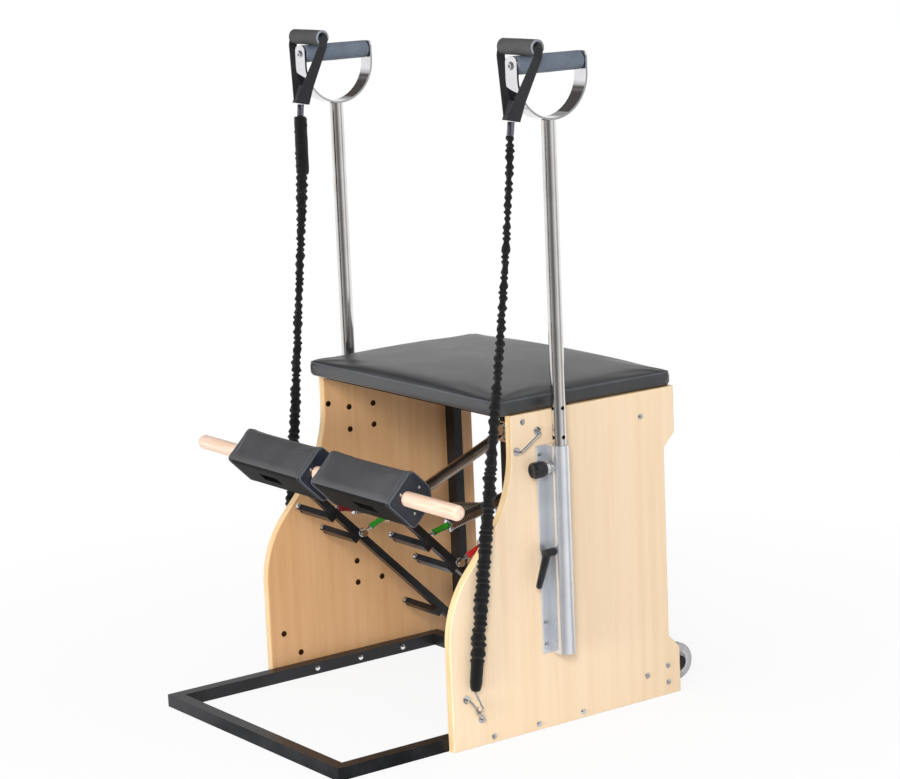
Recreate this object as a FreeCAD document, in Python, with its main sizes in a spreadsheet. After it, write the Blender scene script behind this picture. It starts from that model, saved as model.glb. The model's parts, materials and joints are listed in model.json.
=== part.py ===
"""Pilates chair: two side panels with a seat, two sprung pedals, two handle poles and two elastic cords.

Frame: +Z up, the front of the chair faces -Y, the origin is on the floor in the middle of the chair.
Left is -X and right is +X. All lengths are in millimetres.
"""
import FreeCAD, Part
import math
import operator
import os
import Sketcher
from types import SimpleNamespace
from FreeCAD import Placement, Rotation, Vector

SIZES = {
    # Side panels
    "panel_thick": 18, "panel_high": 620, "panel_long": 560, "panel_rear": 378,
    "panel_top_long": 400, "curve_start": 205, "toe_radius": 200, "throat_radius": 250, "curve_turn": 42.3,
    "recess_low": 93, "recess_high": 528, "recess_deep": 27, "panel_round": 2, "edge_pick": 0.05,
    # Seat board and seat cushion
    "board_thick": 12, "board_setback": 10, "board_rear_gap": 2,
    "seat_wide": 644, "seat_long": 430, "seat_overhang": 28, "seat_side": 32,
    "seat_margin": 2.5, "seat_high": 40, "seat_crown": 12, "seat_loft_share": 3, "seat_corner": 14,
    "seat_tuck": 5, "seat_drawn": 3, "seat_round": 7, "soft_gap": 0.3,
    # Base frame and pedal hinges
    "bar_size": 25, "bar_wall": 2, "base_front": 431, "base_rear": 236, "vent_radius": 3,
    "lug_foot_share": 0.85, "pivot_high": 46, "lug_thick": 6, "lug_radius": 14, "pin_radius": 6,
    "hinge_play": 0.05, "barrel_radius": 13, "barrel_long": 40, "side_play": 0.4,
    "pin_head_radius": 9, "pin_head_thick": 4,
    # Pedal arms
    "arm_inset": 141.5, "arm_wide": 20, "arm_high": 15, "arm_wall": 2, "arm_end_gap": 5.5, "arm_tilt": 45.7,
    # Pedal pads, measured in the arm's own frame from the dowel
    "pad_apart": 300, "pad_long": 265, "dowel_reach": 638, "dowel_radius": 14.5, "dowel_long": 890,
    "dowel_round": 9, "dowel_play": 0.4, "pad_front": 29, "pad_back": 52, "pad_board_top": 15,
    "pad_drop": 34, "pad_rise": 48,
    "pad_edge": 5, "pad_brow": 10, "pad_nape": 34, "pad_tuck": 3, "pad_crown": 2, "pad_shoulder": 18,
    "pad_board_inset": 8,
    "pad_slot_long": 65, "pad_slot_wide": 22, "pad_slot_deep": 12,
    # Cross pegs and spring studs on the arms
    "peg_long": 95, "peg_wide": 18, "peg_thick": 12, "peg_upper_reach": 463, "peg_lower_reach": 387,
    "peg_bottom_reach": 112, "fork_long": 16, "fork_slot": 6, "stud_radius": 3.5, "stud_long": 16,
    "stud_lift": 3.5, "stud_head_radius": 7, "stud_head_thick": 3,
    # Springs with their snap hooks and rear eyes
    "coil_radius": 12, "wire_radius": 1.8, "spring_bend": 4.2, "end_loop_radius": 7, "end_run": 10,
    "hook_long": 62, "hook_rod": 2, "hook_ring": 7.6, "sleeve_radius": 7, "sleeve_long": 36, "cap_thick": 4,
    "seat_play": 0.4, "eye_rod": 2.5, "eye_reach": 14, "eye_span": 26, "eye_bend": 5, "eye_plate_wide": 64,
    "eye_plate_high": 44, "eye_plate_thick": 4, "eye_upper_high": 465, "eye_lower_high": 300,
    "loop_play": 0.6,
    # Rear posts, cross rail and spring rails
    "post_wide": 30, "post_deep": 20, "post_wall": 2, "post_front": 282, "rail_front": 330, "cross_low": 100,
    "cross_high": 30, "rail_low": 92,
    # Pole brackets
    "pole_stand": 25.5, "pole_y": 72, "bracket_low": 150, "bracket_high": 405, "bracket_radius": 18,
    "flange_wide": 76, "flange_thick": 4, "pole_play": 0.3, "screw_pitch": 60, "screw_end": 17,
    "screw_second": 60, "screw_radius": 5, "screw_thick": 3, "head_rim_share": 0.33,
    # Poles with the D handles
    "pole_radius": 14, "pole_wall": 2, "pole_top": 1166, "pole_low": 300,
    "index_radius": 4, "index_pitch": 56,
    "strap_radius": 82, "strap_thick": 4, "strap_wide": 34, "strap_corner": 12, "grip_rise": 104,
    "grip_radius": 17.5, "grip_round": 4, "strap_end": 17,
    # Index plungers
    "plunger_high": 515, "collar_radius": 6, "collar_play": 0.2, "collar_flange": 9, "collar_flange_thick": 5,
    "collar_gap": 4, "plunger_pin": 3, "knob_radius": 16, "knob_long": 28, "knob_round": 3,
    "flute_radius": 3, "flute_deep": 1.6, "tip_gap": 0.3,
    # Clamp levers
    "lever_high": 352, "lever_stud": 4, "lever_hub": 8, "lever_hub_long": 24, "lever_arm_long": 64,
    "lever_arm_tilt": 20, "lever_tip": 6, "lever_stand": 4,
    # Transport wheels
    "wheel_y": 393.5, "wheel_high": 52, "tyre_radius": 37.5, "hub_radius": 25,
    "wheel_wide": 26, "axle_radius": 5,
    "axle_play": 0.05, "bracket_plate": 4, "wheel_gap": 1, "axle_head_radius": 8, "axle_head_thick": 3,
    "plate_low": 14, "plate_high": 58, "plate_front": 328, "plate_round": 14, "tyre_round": 6,
    "hub_web_share": 0.8, "hub_boss_share": 0.45, "hub_dish_share": 0.2,
    # Bolts on the panels
    "bolt_radius": 6, "bolt_thick": 3.5, "base_bolt_front": -88, "base_bolt_pitch": 108, "seat_bolt_y": 6,
    "seat_bolt_drop": 15,
    "post_bolt_high": 571, "post_bolt_low": 50, "wheel_bolt_y": 346,
    "wheel_bolt_low": 26, "wheel_bolt_high": 60,
    # Cord anchors on the panels
    "anchor_rod": 2.5, "anchor_stand": 14, "anchor_bend": 6, "anchor_foot": 8, "anchor_foot_thick": 2,
    "upper_anchor_y": -11, "upper_anchor_z": 551, "upper_anchor_run": 50, "upper_anchor_rise": 32,
    "lower_anchor_y": -150, "lower_anchor_z": 98, "lower_anchor_run": 34, "lower_anchor_rise": -45,
    # Pull handles with their webbing
    "pull_radius": 15, "pull_bore": 10.6, "pull_long": 104, "pull_y": 13, "web_strap": 30, "web_pinch": 19,
    "web_thick": 2, "web_half": 56, "web_neck": 4, "web_drop": 134, "web_lean": 11.5, "web_edge": 18,
    "swivel_radius": 6.5, "swivel_long": 25,
    # Elastic cords
    "cord_radius": 11.5, "cord_stand": 14.5, "cord_low_y": -131, "cord_low_z": 172, "cuff_long": 58,
    "cord_hook_rod": 2, "cord_hook_ring": 8.2,
    # One overrun serves all cuts
    "overrun": 10,
}

COIL_TURNS = 20
WIRE_SIDES = 6
ROD_SIDES = 8
KNOB_FLUTES = 12
HOOK_TURN = 300
SIDES = {"left": -1, "right": 1}

doc = FreeCAD.newDocument("pilates_chair")
sheet = doc.addObject("Spreadsheet::Sheet", "Sizes")
for row, (alias, value) in enumerate(SIZES.items(), start=1):
    sheet.set("A%d" % row, alias)
    sheet.set("B%d" % row, str(value))
    sheet.setAlias("B%d" % row, alias)
doc.recompute()


class Size:
    """A size of the sheet, or a sum of such sizes: its value, and the text that binds a property to it."""

    def __init__(self, value, text):
        self.value = value
        self.text = text

    def joined(self, sign, work, other, swapped=False):
        other = other if isinstance(other, Size) else Size(other, repr(other))
        first, second = (other, self) if swapped else (self, other)
        text = "(%s %s %s)" % (first.text, sign, second.text)
        return Size(work(first.value, second.value), text)

    def __add__(self, other):
        return self.joined("+", operator.add, other)

    def __sub__(self, other):
        return self.joined("-", operator.sub, other)

    def __rsub__(self, other):
        return self.joined("-", operator.sub, other, swapped=True)

    def __mul__(self, other):
        return self.joined("*", operator.mul, other)

    def __truediv__(self, other):
        return self.joined("/", operator.truediv, other)

    def __neg__(self):
        return self * -1

    __radd__ = __add__
    __rmul__ = __mul__


def sine(angle):
    return Size(math.sin(math.radians(angle.value)), "sin(%s)" % angle.text)


def cosine(angle):
    return Size(math.cos(math.radians(angle.value)), "cos(%s)" % angle.text)


NONE = Size(0, "0")
S = SimpleNamespace(**{alias: Size(float(sheet.get(alias)), "Sizes." + alias) for alias in SIZES})
V = SimpleNamespace(**{alias: size.value for alias, size in vars(S).items()})
nodes = []


def node(item, label):
    """Give a sub-part the name of its file."""
    item.Label = label
    nodes.append(item)
    return item


def bind(item, **sizes):
    for name, size in sizes.items():
        item.setExpression(name, size.text)
    return item


# Primitives and joins

def at(x, y, z, rotation=None):
    values = [part.value if isinstance(part, Size) else part for part in (x, y, z)]
    return Placement(Vector(*values), rotation or Rotation())


ALONG = {"x": Rotation(Vector(0, 1, 0), 90), "-y": Rotation(Vector(1, 0, 0), 90), "z": Rotation(),
         "-x": Rotation(Vector(0, 1, 0), -90)}


def block(name, place, length, width, height):
    item = bind(doc.addObject("Part::Box", name), Length=length, Width=width, Height=height)
    item.Placement = place
    return item


def rod(name, place, radius, length):
    item = bind(doc.addObject("Part::Cylinder", name), Radius=radius, Height=length)
    item.Placement = place
    return item


def cut(name, base, tool):
    item = doc.addObject("Part::Cut", name)
    item.Base = base
    item.Tool = tool
    return item


def fuse(name, items):
    item = doc.addObject("Part::MultiFuse", name)
    item.Shapes = items
    return item


def group(name, items):
    item = doc.addObject("Part::Compound", name)
    item.Links = items
    return item


def made(name, shape, place=None):
    """A sub-part whose shape is worked out here from the sheet's sizes."""
    item = doc.addObject("Part::Feature", name)
    item.Shape = shape
    if place:
        item.Placement = place
    return item


def scatter(name, pattern, places):
    """Copies of one body, each a solid of its own."""
    doc.recompute()
    copies = []
    for place in places:
        copy = pattern.Shape.copy()
        copy.Placement = place.multiply(copy.Placement)
        copies.append(copy)
    return made(name, Part.makeCompound(copies))


# Sketches and the features made from them

def body_named(name, place=None):
    body = doc.addObject("PartDesign::Body", name)
    if place:
        body.Placement = place
    return body


def sketch_on(body, plane, depth=NONE):
    """A sketch on an origin plane of the body, moved along the plane's normal."""
    sketch = body.newObject("Sketcher::SketchObject", body.Name + "_sketch")
    for feature in body.Origin.OriginFeatures:
        if feature.Role == plane:
            sketch.AttachmentSupport = [(feature, "")]
    sketch.MapMode = "FlatFace"
    if depth is not NONE:
        sketch.setExpression("AttachmentOffset.Base.z", depth.text)
    return sketch


def hold(sketch, kind, where, size):
    index = sketch.addConstraint(Sketcher.Constraint(kind, *where, size.value))
    sketch.setExpression("Constraints[%d]" % index, size.text)


def pin(sketch, geometry, end, point):
    """Hold one end of an edge at a point of the sketch."""
    for kind, axis, size in (("DistanceX", -2, point[0]), ("DistanceY", -1, point[1])):
        if size is NONE:
            sketch.addConstraint(Sketcher.Constraint("PointOnObject", geometry, end, axis))
        else:
            hold(sketch, kind, (-1, 1, geometry, end), size)


def outline(sketch, points, arcs=None):
    """A closed outline through the points. arcs gives each round edge a radius and a turn, 1 for left."""
    arcs = arcs or {}
    flat = [Vector(u.value, v.value, 0) for u, v in points]
    ends = []
    for number, start in enumerate(flat):
        stop = flat[(number + 1) % len(flat)]
        if number not in arcs:
            ends.append((sketch.addGeometry(Part.LineSegment(start, stop)), 1, 2))
            continue
        radius, turn = arcs[number]
        chord = stop - start
        rise = math.sqrt(max(radius.value ** 2 - (chord.Length / 2) ** 2, 0))
        centre = (start + stop) / 2 + Vector(-chord.y, chord.x, 0).normalize() * rise * turn
        first, last = (start, stop) if turn > 0 else (stop, start)
        angles = [math.atan2(point.y - centre.y, point.x - centre.x) for point in (first, last)]
        circle = Part.Circle(centre, Vector(0, 0, 1), radius.value)
        geometry = sketch.addGeometry(Part.ArcOfCircle(circle, *angles))
        hold(sketch, "Radius", (geometry,), radius)
        ends.append((geometry, 1, 2) if turn > 0 else (geometry, 2, 1))
    for number, (geometry, first, last) in enumerate(ends):
        following = ends[(number + 1) % len(ends)]
        sketch.addConstraint(Sketcher.Constraint("Coincident", geometry, last, following[0], following[1]))
        pin(sketch, geometry, first, points[number])


def ring(sketch, radius, point=(NONE, NONE)):
    circle = Part.Circle(Vector(point[0].value, point[1].value, 0), Vector(0, 0, 1), radius.value)
    geometry = sketch.addGeometry(circle)
    hold(sketch, "Radius", (geometry,), radius)
    pin(sketch, geometry, 3, point)


def pad(body, sketch, length, both_ways=False):
    feature = body.newObject("PartDesign::Pad", body.Name + "_pad")
    feature.Profile = sketch
    feature.Midplane = both_ways
    return bind(feature, Length=length)


def pocket(body, sketch, length, reverse=False, both_ways=False):
    feature = body.newObject("PartDesign::Pocket", body.Name + "_pocket")
    feature.Profile = sketch
    feature.Reversed = reverse
    feature.Midplane = both_ways
    return bind(feature, Length=length)


def round_edges(body, radius, chosen):
    """Fillet the edges of the body's last feature that chosen picks."""
    doc.recompute()
    tip = body.Tip
    names = ["Edge%d" % number for number, edge in enumerate(tip.Shape.Edges, start=1) if chosen(edge)]
    feature = body.newObject("PartDesign::Fillet", body.Name + "_round")
    feature.Base = (tip, names)
    return bind(feature, Radius=radius)


def turned(name, profile, place=None, arcs=None):
    """A body turned about its own Z axis from a profile of radius and height."""
    body = body_named(name, place)
    sketch = sketch_on(body, "XZ_Plane")
    outline(sketch, profile, arcs)
    feature = body.newObject("PartDesign::Revolution", name + "_turned")
    feature.Profile = sketch
    feature.ReferenceAxis = (sketch, ["V_Axis"])
    return body


# Bent rod and tube along a route

def bent_path(points, bend):
    """Straight runs through the points, joined by tangent arcs of one radius."""
    edges = []
    start = points[0]
    for before, corner, after in zip(points, points[1:], points[2:]):
        back = (before - corner).normalize()
        ahead = (after - corner).normalize()
        half = (math.pi - back.getAngle(ahead)) / 2
        reach = bend * math.tan(half)
        middle = corner + (back + ahead).normalize() * (bend / math.cos(half) - bend)
        edges.append(Part.LineSegment(start, corner + back * reach).toShape())
        edges.append(Part.Arc(corner + back * reach, middle, corner + ahead * reach).toShape())
        start = corner + ahead * reach
    edges.append(Part.LineSegment(start, points[-1]).toShape())
    return Part.Wire(edges)


def rod_along(path, radius, sides):
    """A rod of a many-sided section along a path."""
    first = path.OrderedEdges[0]
    start = first.valueAt(first.FirstParameter)
    ahead = first.tangentAt(first.FirstParameter)
    spare = Vector(1, 0, 0) if abs(ahead.x) < 0.5 else Vector(0, 1, 0)
    across = ahead.cross(spare).normalize() * radius
    rim = [start + Rotation(ahead, 360 * step / sides).multVec(across) for step in range(sides + 1)]
    return path.makePipeShell([Part.makePolygon(rim)], True, False)


def ring_path(centre, side, ahead, radius, angle):
    """An open ring from the side direction towards the ahead direction, in arcs of under a half turn."""
    arcs = []
    pieces = 3
    step = math.radians(angle) / pieces
    for piece in range(pieces):
        turns = [step * (piece + part) for part in (0, 0.5, 1)]
        spots = [centre + (side * math.cos(turn) + ahead * math.sin(turn)) * radius for turn in turns]
        arcs.append(Part.Arc(*spots))
    return Part.Wire([arc.toShape() for arc in arcs])


def staple(foot, other, out, rod_radius, bend):
    """A bent rod that stands on two feet and reaches out from them."""
    return rod_along(bent_path([foot, foot + out, other + out, other], bend), rod_radius, ROD_SIDES)


def turn_to(direction, side):
    """The rotation that sends Z along direction and keeps X as near to side as it can."""
    return Rotation(side, Vector(), direction, "ZXY")


# Places that several pieces share
panel_out = S.seat_wide / 2 + S.seat_margin
panel_in = panel_out - S.panel_thick
panel_front = S.panel_rear - S.panel_long
panel_top_front = S.panel_rear - S.panel_top_long
arm_x = panel_in - S.arm_inset
arm_long = S.dowel_reach - S.dowel_radius - S.arm_end_gap
pivot_y = S.base_rear - S.bar_size / 2
pole_x = panel_out + S.pole_stand
board_low = S.panel_high - S.board_thick
grip_high = S.pole_top + S.grip_rise


def pedal_frame(side):
    """The frame of one pedal: origin at the pivot, Z along the arm, Y square to it and up."""
    return at(arm_x * side, pivot_y, S.pivot_high, Rotation(Vector(1, 0, 0), V.arm_tilt))


def side_panel(name, side):
    """Plywood side with the S-shaped front edge and the recessed rear edge, its edges eased."""
    lean = cosine(S.curve_turn)
    reach = sine(S.curve_turn)
    toe = (panel_front + S.toe_radius * (1 - lean), S.curve_start + S.toe_radius * reach)
    throat_y = panel_top_front - S.throat_radius * (1 - lean)
    throat_z = toe[1] + (throat_y - toe[0]) * lean / reach
    body = body_named(name)
    sketch = sketch_on(body, "YZ_Plane", panel_in if side > 0 else -panel_out)
    recess = S.panel_rear - S.recess_deep
    outline(sketch, [
        (panel_front, NONE), (S.panel_rear, NONE), (S.panel_rear, S.recess_low),
        (recess, S.recess_low + S.recess_deep), (recess, S.recess_high - S.recess_deep),
        (S.panel_rear, S.recess_high), (S.panel_rear, S.panel_high), (panel_top_front, S.panel_high),
        (panel_top_front, throat_z + S.throat_radius * reach), (throat_y, throat_z), toe,
        (panel_front, S.curve_start)], {8: (S.throat_radius, -1), 10: (S.toe_radius, 1)})
    pad(body, sketch, S.panel_thick)
    round_edges(body, S.panel_round, lambda edge: edge.BoundBox.XLength < V.edge_pick)
    return node(body, name)


def rounded_loop(points, radii):
    """A closed flat wire of straight edges and corner arcs."""
    count = len(points)
    corners = []
    for number, corner in enumerate(points):
        back = (points[number - 1] - corner).normalize()
        ahead = (points[(number + 1) % count] - corner).normalize()
        half = (math.pi - back.getAngle(ahead)) / 2
        reach = radii[number] * math.tan(half)
        middle = corner + (back + ahead).normalize() * (radii[number] / math.cos(half) - radii[number])
        corners.append((corner + back * reach, middle, corner + ahead * reach))
    edges = []
    for number, (start, middle, stop) in enumerate(corners):
        edges.append(Part.Arc(start, middle, stop).toShape())
        edges.append(Part.LineSegment(stop, corners[(number + 1) % count][0]).toShape())
    return Part.Wire(edges)


def drawn_loop(half_wide, half_long, corner, drawn, height):
    """A seat outline whose sides draw in between rounded corners."""
    spots = []
    for across, along in ((1, -1), (1, 1), (-1, 1), (-1, -1)):
        spots.append(Vector(across * (half_wide - corner), along * (half_long - corner), height))
    slant = math.sqrt(0.5)
    edges = []
    for number, spot in enumerate(spots):
        across, along = ((1, -1), (1, 1), (-1, 1), (-1, -1))[number]
        side = Vector(across, 0, 0) * corner
        end = Vector(0, along, 0) * corner
        start, stop = (end, side) if across * along < 0 else (side, end)
        middle = spot + (side + end) * slant
        edges.append(Part.Arc(spot + start, middle, spot + stop).toShape())
        following = spots[(number + 1) % 4]
        run = following + stop
        inward = (spot + stop + run) / 2 - stop.normalize() * drawn
        edges.append(Part.Arc(spot + stop * corner, inward, following + stop * corner).toShape())
    return Part.Wire(edges)


def seat_cushion():
    """Seat pad: sides that bulge and draw in, under a crowned top with a rounded edge."""
    low = V.panel_high + V.soft_gap
    bulge = V.seat_side / 2
    loops = []
    for rise in (0, bulge, bulge * V.seat_loft_share):
        inset = V.seat_tuck * ((rise - bulge) / bulge) ** 2
        loops.append(drawn_loop(V.seat_wide / 2 - inset, V.seat_long / 2 - inset, V.seat_corner, V.seat_drawn,
                                low + rise))
    reach = math.hypot(V.seat_wide, V.seat_long) / 2
    crown_radius = (reach ** 2 + V.seat_crown ** 2) / (V.seat_crown * 2)
    centre = Vector(0, 0, low + V.seat_high - crown_radius)
    cushion = Part.makeLoft(loops, True, False).common(Part.makeSphere(crown_radius, centre))

    def on_crown(edge):
        middle_point = edge.valueAt((edge.FirstParameter + edge.LastParameter) / 2)
        return abs((middle_point - centre).Length - crown_radius) < V.edge_pick

    rim = [edge for edge in cushion.Edges if on_crown(edge)]
    cushion = cushion.makeFillet(V.seat_round, rim)
    front = panel_top_front.value - V.seat_overhang
    return node(made("seat_pad", cushion, at(0, front + V.seat_long / 2, 0)), "seat_cushion")


def seat_board():
    front = panel_top_front + S.board_setback
    board = block("board", at(-panel_in, front, board_low), panel_in * 2,
                  S.panel_rear - S.board_rear_gap - front, S.board_thick)
    return node(board, "seat_board")


def base_frame():
    """Welded square tube with vent holes underneath, and the hinge lugs on its rear bar."""
    body = body_named("base_frame")

    def frame_loop(sketch, inset):
        for edge in (inset, S.bar_size - inset):
            across = panel_in - edge
            front = edge - S.base_front
            rear = S.base_rear - edge
            outline(sketch, [(-across, front), (across, front), (across, rear), (-across, rear)])

    loop = sketch_on(body, "XY_Plane")
    frame_loop(loop, NONE)
    pad(body, loop, S.bar_size)
    hollow = sketch_on(body, "XY_Plane", S.bar_wall)
    frame_loop(hollow, S.bar_wall)
    pocket(body, hollow, S.bar_size - S.bar_wall * 2, reverse=True)
    vents = sketch_on(body, "XY_Plane")
    for across in (-1, 1):
        for front in (S.bar_size * 2 - S.base_front, S.base_rear - S.bar_size * 2):
            ring(vents, S.vent_radius, ((panel_in - S.bar_size / 2) * across, front))
    pocket(body, vents, S.bar_wall + S.side_play, reverse=True)
    for side in SIDES.values():
        for across in (-1, 1):
            inner = S.barrel_long / 2 + S.side_play
            near = arm_x * side + (inner if across > 0 else -(inner + S.lug_thick))
            lug = sketch_on(body, "YZ_Plane", near)
            half = S.lug_radius
            foot = half * S.lug_foot_share
            outline(lug, [(pivot_y - foot, S.bar_size), (pivot_y + foot, S.bar_size),
                          (pivot_y + half, S.pivot_high), (pivot_y, S.pivot_high + half),
                          (pivot_y - half, S.pivot_high)], {2: (half, 1), 3: (half, 1)})
            ring(lug, S.pin_radius + S.hinge_play, (pivot_y, S.pivot_high))
            pad(body, lug, S.lug_thick)
    return node(body, "base_frame")


def hinge_pins():
    """Headed pins through the lugs and the arm's barrel."""
    long = S.barrel_long + (S.side_play + S.lug_thick) * 2
    pattern = turned("hinge_pin", [
        (NONE, NONE), (S.pin_radius, NONE), (S.pin_radius, long), (S.pin_head_radius, long),
        (S.pin_head_radius, long + S.pin_head_thick), (NONE, long + S.pin_head_thick)])
    places = []
    for side in SIDES.values():
        inner = arm_x * side - long / 2 * side
        places.append(at(inner, pivot_y, S.pivot_high, ALONG["x" if side > 0 else "-x"]))
    return node(scatter("hinge_pins", pattern, places), "hinge_pins")


def pedal_arm(name, side):
    """Rectangular tube with the hinge barrel welded on its lower end."""
    body = body_named(name, pedal_frame(side))
    start = sketch_on(body, "XY_Plane", S.pin_radius + S.hinge_play * 2)
    for wall in (NONE, S.arm_wall):
        half_wide = S.arm_wide / 2 - wall
        half_high = S.arm_high / 2 - wall
        outline(start, [(-half_wide, -half_high), (half_wide, -half_high), (half_wide, half_high),
                        (-half_wide, half_high)])
    pad(body, start, arm_long - S.pin_radius)
    barrel = sketch_on(body, "YZ_Plane")
    ring(barrel, S.barrel_radius)
    pad(body, barrel, S.barrel_long, both_ways=True)
    bore = sketch_on(body, "YZ_Plane")
    ring(bore, S.pin_radius + S.hinge_play)
    pocket(body, bore, S.barrel_long + S.overrun, both_ways=True)
    return node(body, name)


def pad_section(station, grow):
    """The pad's section at one place along it: flat front and underside, and a broad round at the back."""
    low = -V.pad_drop - grow
    high = V.pad_rise + grow
    front = V.dowel_reach + V.pad_front + grow
    back = V.dowel_reach - V.pad_back - grow
    corners = [Vector(station, n, s) for n, s in ((low, back), (low, front), (high, front), (high, back))]
    return rounded_loop(corners, [V.pad_edge, V.pad_edge, V.pad_brow, V.pad_nape])


def pedal_pad(side_name, side):
    """Padded block round a board: crowned along its length, open for the dowel, the arm and the board."""
    shift = (S.pad_apart / 2 - arm_x) * side
    half = V.pad_long / 2
    middle = shift.value
    shoulder = half - V.pad_shoulder
    loops = [pad_section(middle - half, -V.pad_tuck), pad_section(middle - shoulder, 0),
             pad_section(middle, V.pad_crown), pad_section(middle + shoulder, 0),
             pad_section(middle + half, -V.pad_tuck)]
    gap = S.soft_gap
    inset = S.pad_board_inset
    frame = pedal_frame(side)
    name = side_name + "_pedal"
    long = S.pad_long - inset * 2
    deep = S.pad_front + S.pad_back - inset * 2
    high = S.pad_drop - S.pad_board_top
    reach = S.dowel_reach - S.pad_back + inset
    recess = block(name + "_recess",
                   frame.multiply(at(shift - long / 2, gap - S.pad_board_top - high * 2, reach)),
                   long, high * 2, deep)
    room = block(name + "_room", frame.multiply(at(-S.arm_wide / 2 - gap, -S.arm_high / 2 - gap, 0)),
                 S.arm_wide + gap * 2, S.arm_high + gap * 2, arm_long + gap)
    bore = rod(name + "_bore",
               frame.multiply(at(shift - S.pad_long / 2 - S.overrun, 0, S.dowel_reach, ALONG["x"])),
               S.dowel_radius + S.dowel_play, S.pad_long + S.overrun * 2)
    foam = made(name + "_foam", Part.makeLoft(loops, True, True), frame)
    cushion = cut(name + "_open", foam, fuse(name + "_gaps", [recess, room, bore]))
    node(cushion, side_name + "_pedal_cushion")
    place = frame.multiply(at(shift - long / 2 + gap, -S.pad_drop, reach + gap))
    plate = block(name + "_plate", place, long - gap * 2, high, deep - gap * 2)
    slot = block(name + "_slot", frame.multiply(at(-S.pad_slot_long / 2, -S.pad_drop - S.overrun,
                                                   reach + deep / 2 - S.pad_slot_wide / 2)),
                 S.pad_slot_long, S.overrun + S.pad_slot_deep, S.pad_slot_wide)
    node(cut(name + "_slotted", plate, slot), side_name + "_pedal_board")


def dowel():
    """Wooden dowel with rounded ends through both pads."""
    half = S.dowel_long / 2
    straight = half - S.dowel_round
    flat = S.dowel_radius - S.dowel_round
    place = pedal_frame(0).multiply(at(0, 0, V.dowel_reach, ALONG["x"]))
    body = turned("dowel", [(NONE, -half), (flat, -half), (S.dowel_radius, -straight),
                            (S.dowel_radius, straight), (flat, half), (NONE, half)], place,
                  {1: (S.dowel_round, 1), 3: (S.dowel_round, 1)})
    return node(body, "dowel")


def spring_pegs(name, side):
    """Three cross pegs under the arm, each with a forked end to the left."""
    frame = pedal_frame(side)
    pegs = []
    for number, reach in enumerate((S.peg_upper_reach, S.peg_lower_reach, S.peg_bottom_reach)):
        left = -(S.arm_wide / 2 + S.peg_long)
        low = reach - S.peg_wide / 2
        under = -(S.arm_high / 2 + S.peg_thick)
        bar = block("%s_bar%d" % (name, number), frame.multiply(at(left, under, low)),
                    S.peg_long + S.arm_wide, S.peg_thick, S.peg_wide)
        slot = block("%s_slot%d" % (name, number),
                     frame.multiply(at(left - S.overrun, under - S.overrun, reach - S.fork_slot / 2)),
                     S.fork_long + S.overrun, S.peg_thick + S.overrun * 2, S.fork_slot)
        pegs.append(cut("%s_peg%d" % (name, number), bar, slot))
    return node(group(name, pegs), name)


# Each spring: side, name, place on the arm, side of the arm that its stud is on, and the rear eye's row
SPRINGS = [("left", "lower", S.peg_lower_reach, 1, S.eye_upper_high),
           ("left", "upper", S.peg_upper_reach, -1, S.eye_lower_high),
           ("right", "lower", S.peg_lower_reach, 1, S.eye_upper_high),
           ("right", "upper", S.peg_upper_reach, -1, S.eye_upper_high)]
spring_offset = S.arm_wide / 2 + S.stud_long / 2


def spring_studs(name, side):
    """Shouldered studs that the snap hooks go round, one on each face of the arm."""
    long = S.stud_long + S.stud_head_thick
    pattern = turned(name + "_stud", [
        (NONE, NONE), (S.stud_radius, NONE), (S.stud_radius, S.stud_long), (S.stud_head_radius, S.stud_long),
        (S.stud_head_radius, long), (NONE, long)])
    places = []
    for reach, face in ((S.peg_lower_reach, 1), (S.peg_upper_reach, -1)):
        spot = at(S.arm_wide / 2 * face, S.stud_lift, reach, ALONG["x" if face > 0 else "-x"])
        places.append(pedal_frame(side).multiply(spot))
    return node(scatter(name, pattern, places), name)


def biarc(start, along, stop, onward):
    """Two arcs that leave start and reach stop along given directions."""
    chord = stop - start
    both = along + onward
    spare = 2 * (1 - along.dot(onward))
    dot = chord.dot(both)
    reach = (math.sqrt(dot ** 2 + spare * chord.dot(chord)) - dot) / spare
    joint = (start + along * reach + stop - onward * reach) / 2
    edges = []
    for first, last, lean in ((start, joint, along), (stop, joint, onward * -1)):
        span = last - first
        unit = Vector(span).normalize()
        side = (lean - unit * lean.dot(unit)).normalize()
        middle = (first + last) / 2 + side * (span.Length / 2) * math.tan(lean.getAngle(span) / 2)
        edges.append(Part.Arc(first, middle, last) if first is start else Part.Arc(last, middle, first))
    return [edge.toShape() for edge in edges]


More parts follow.
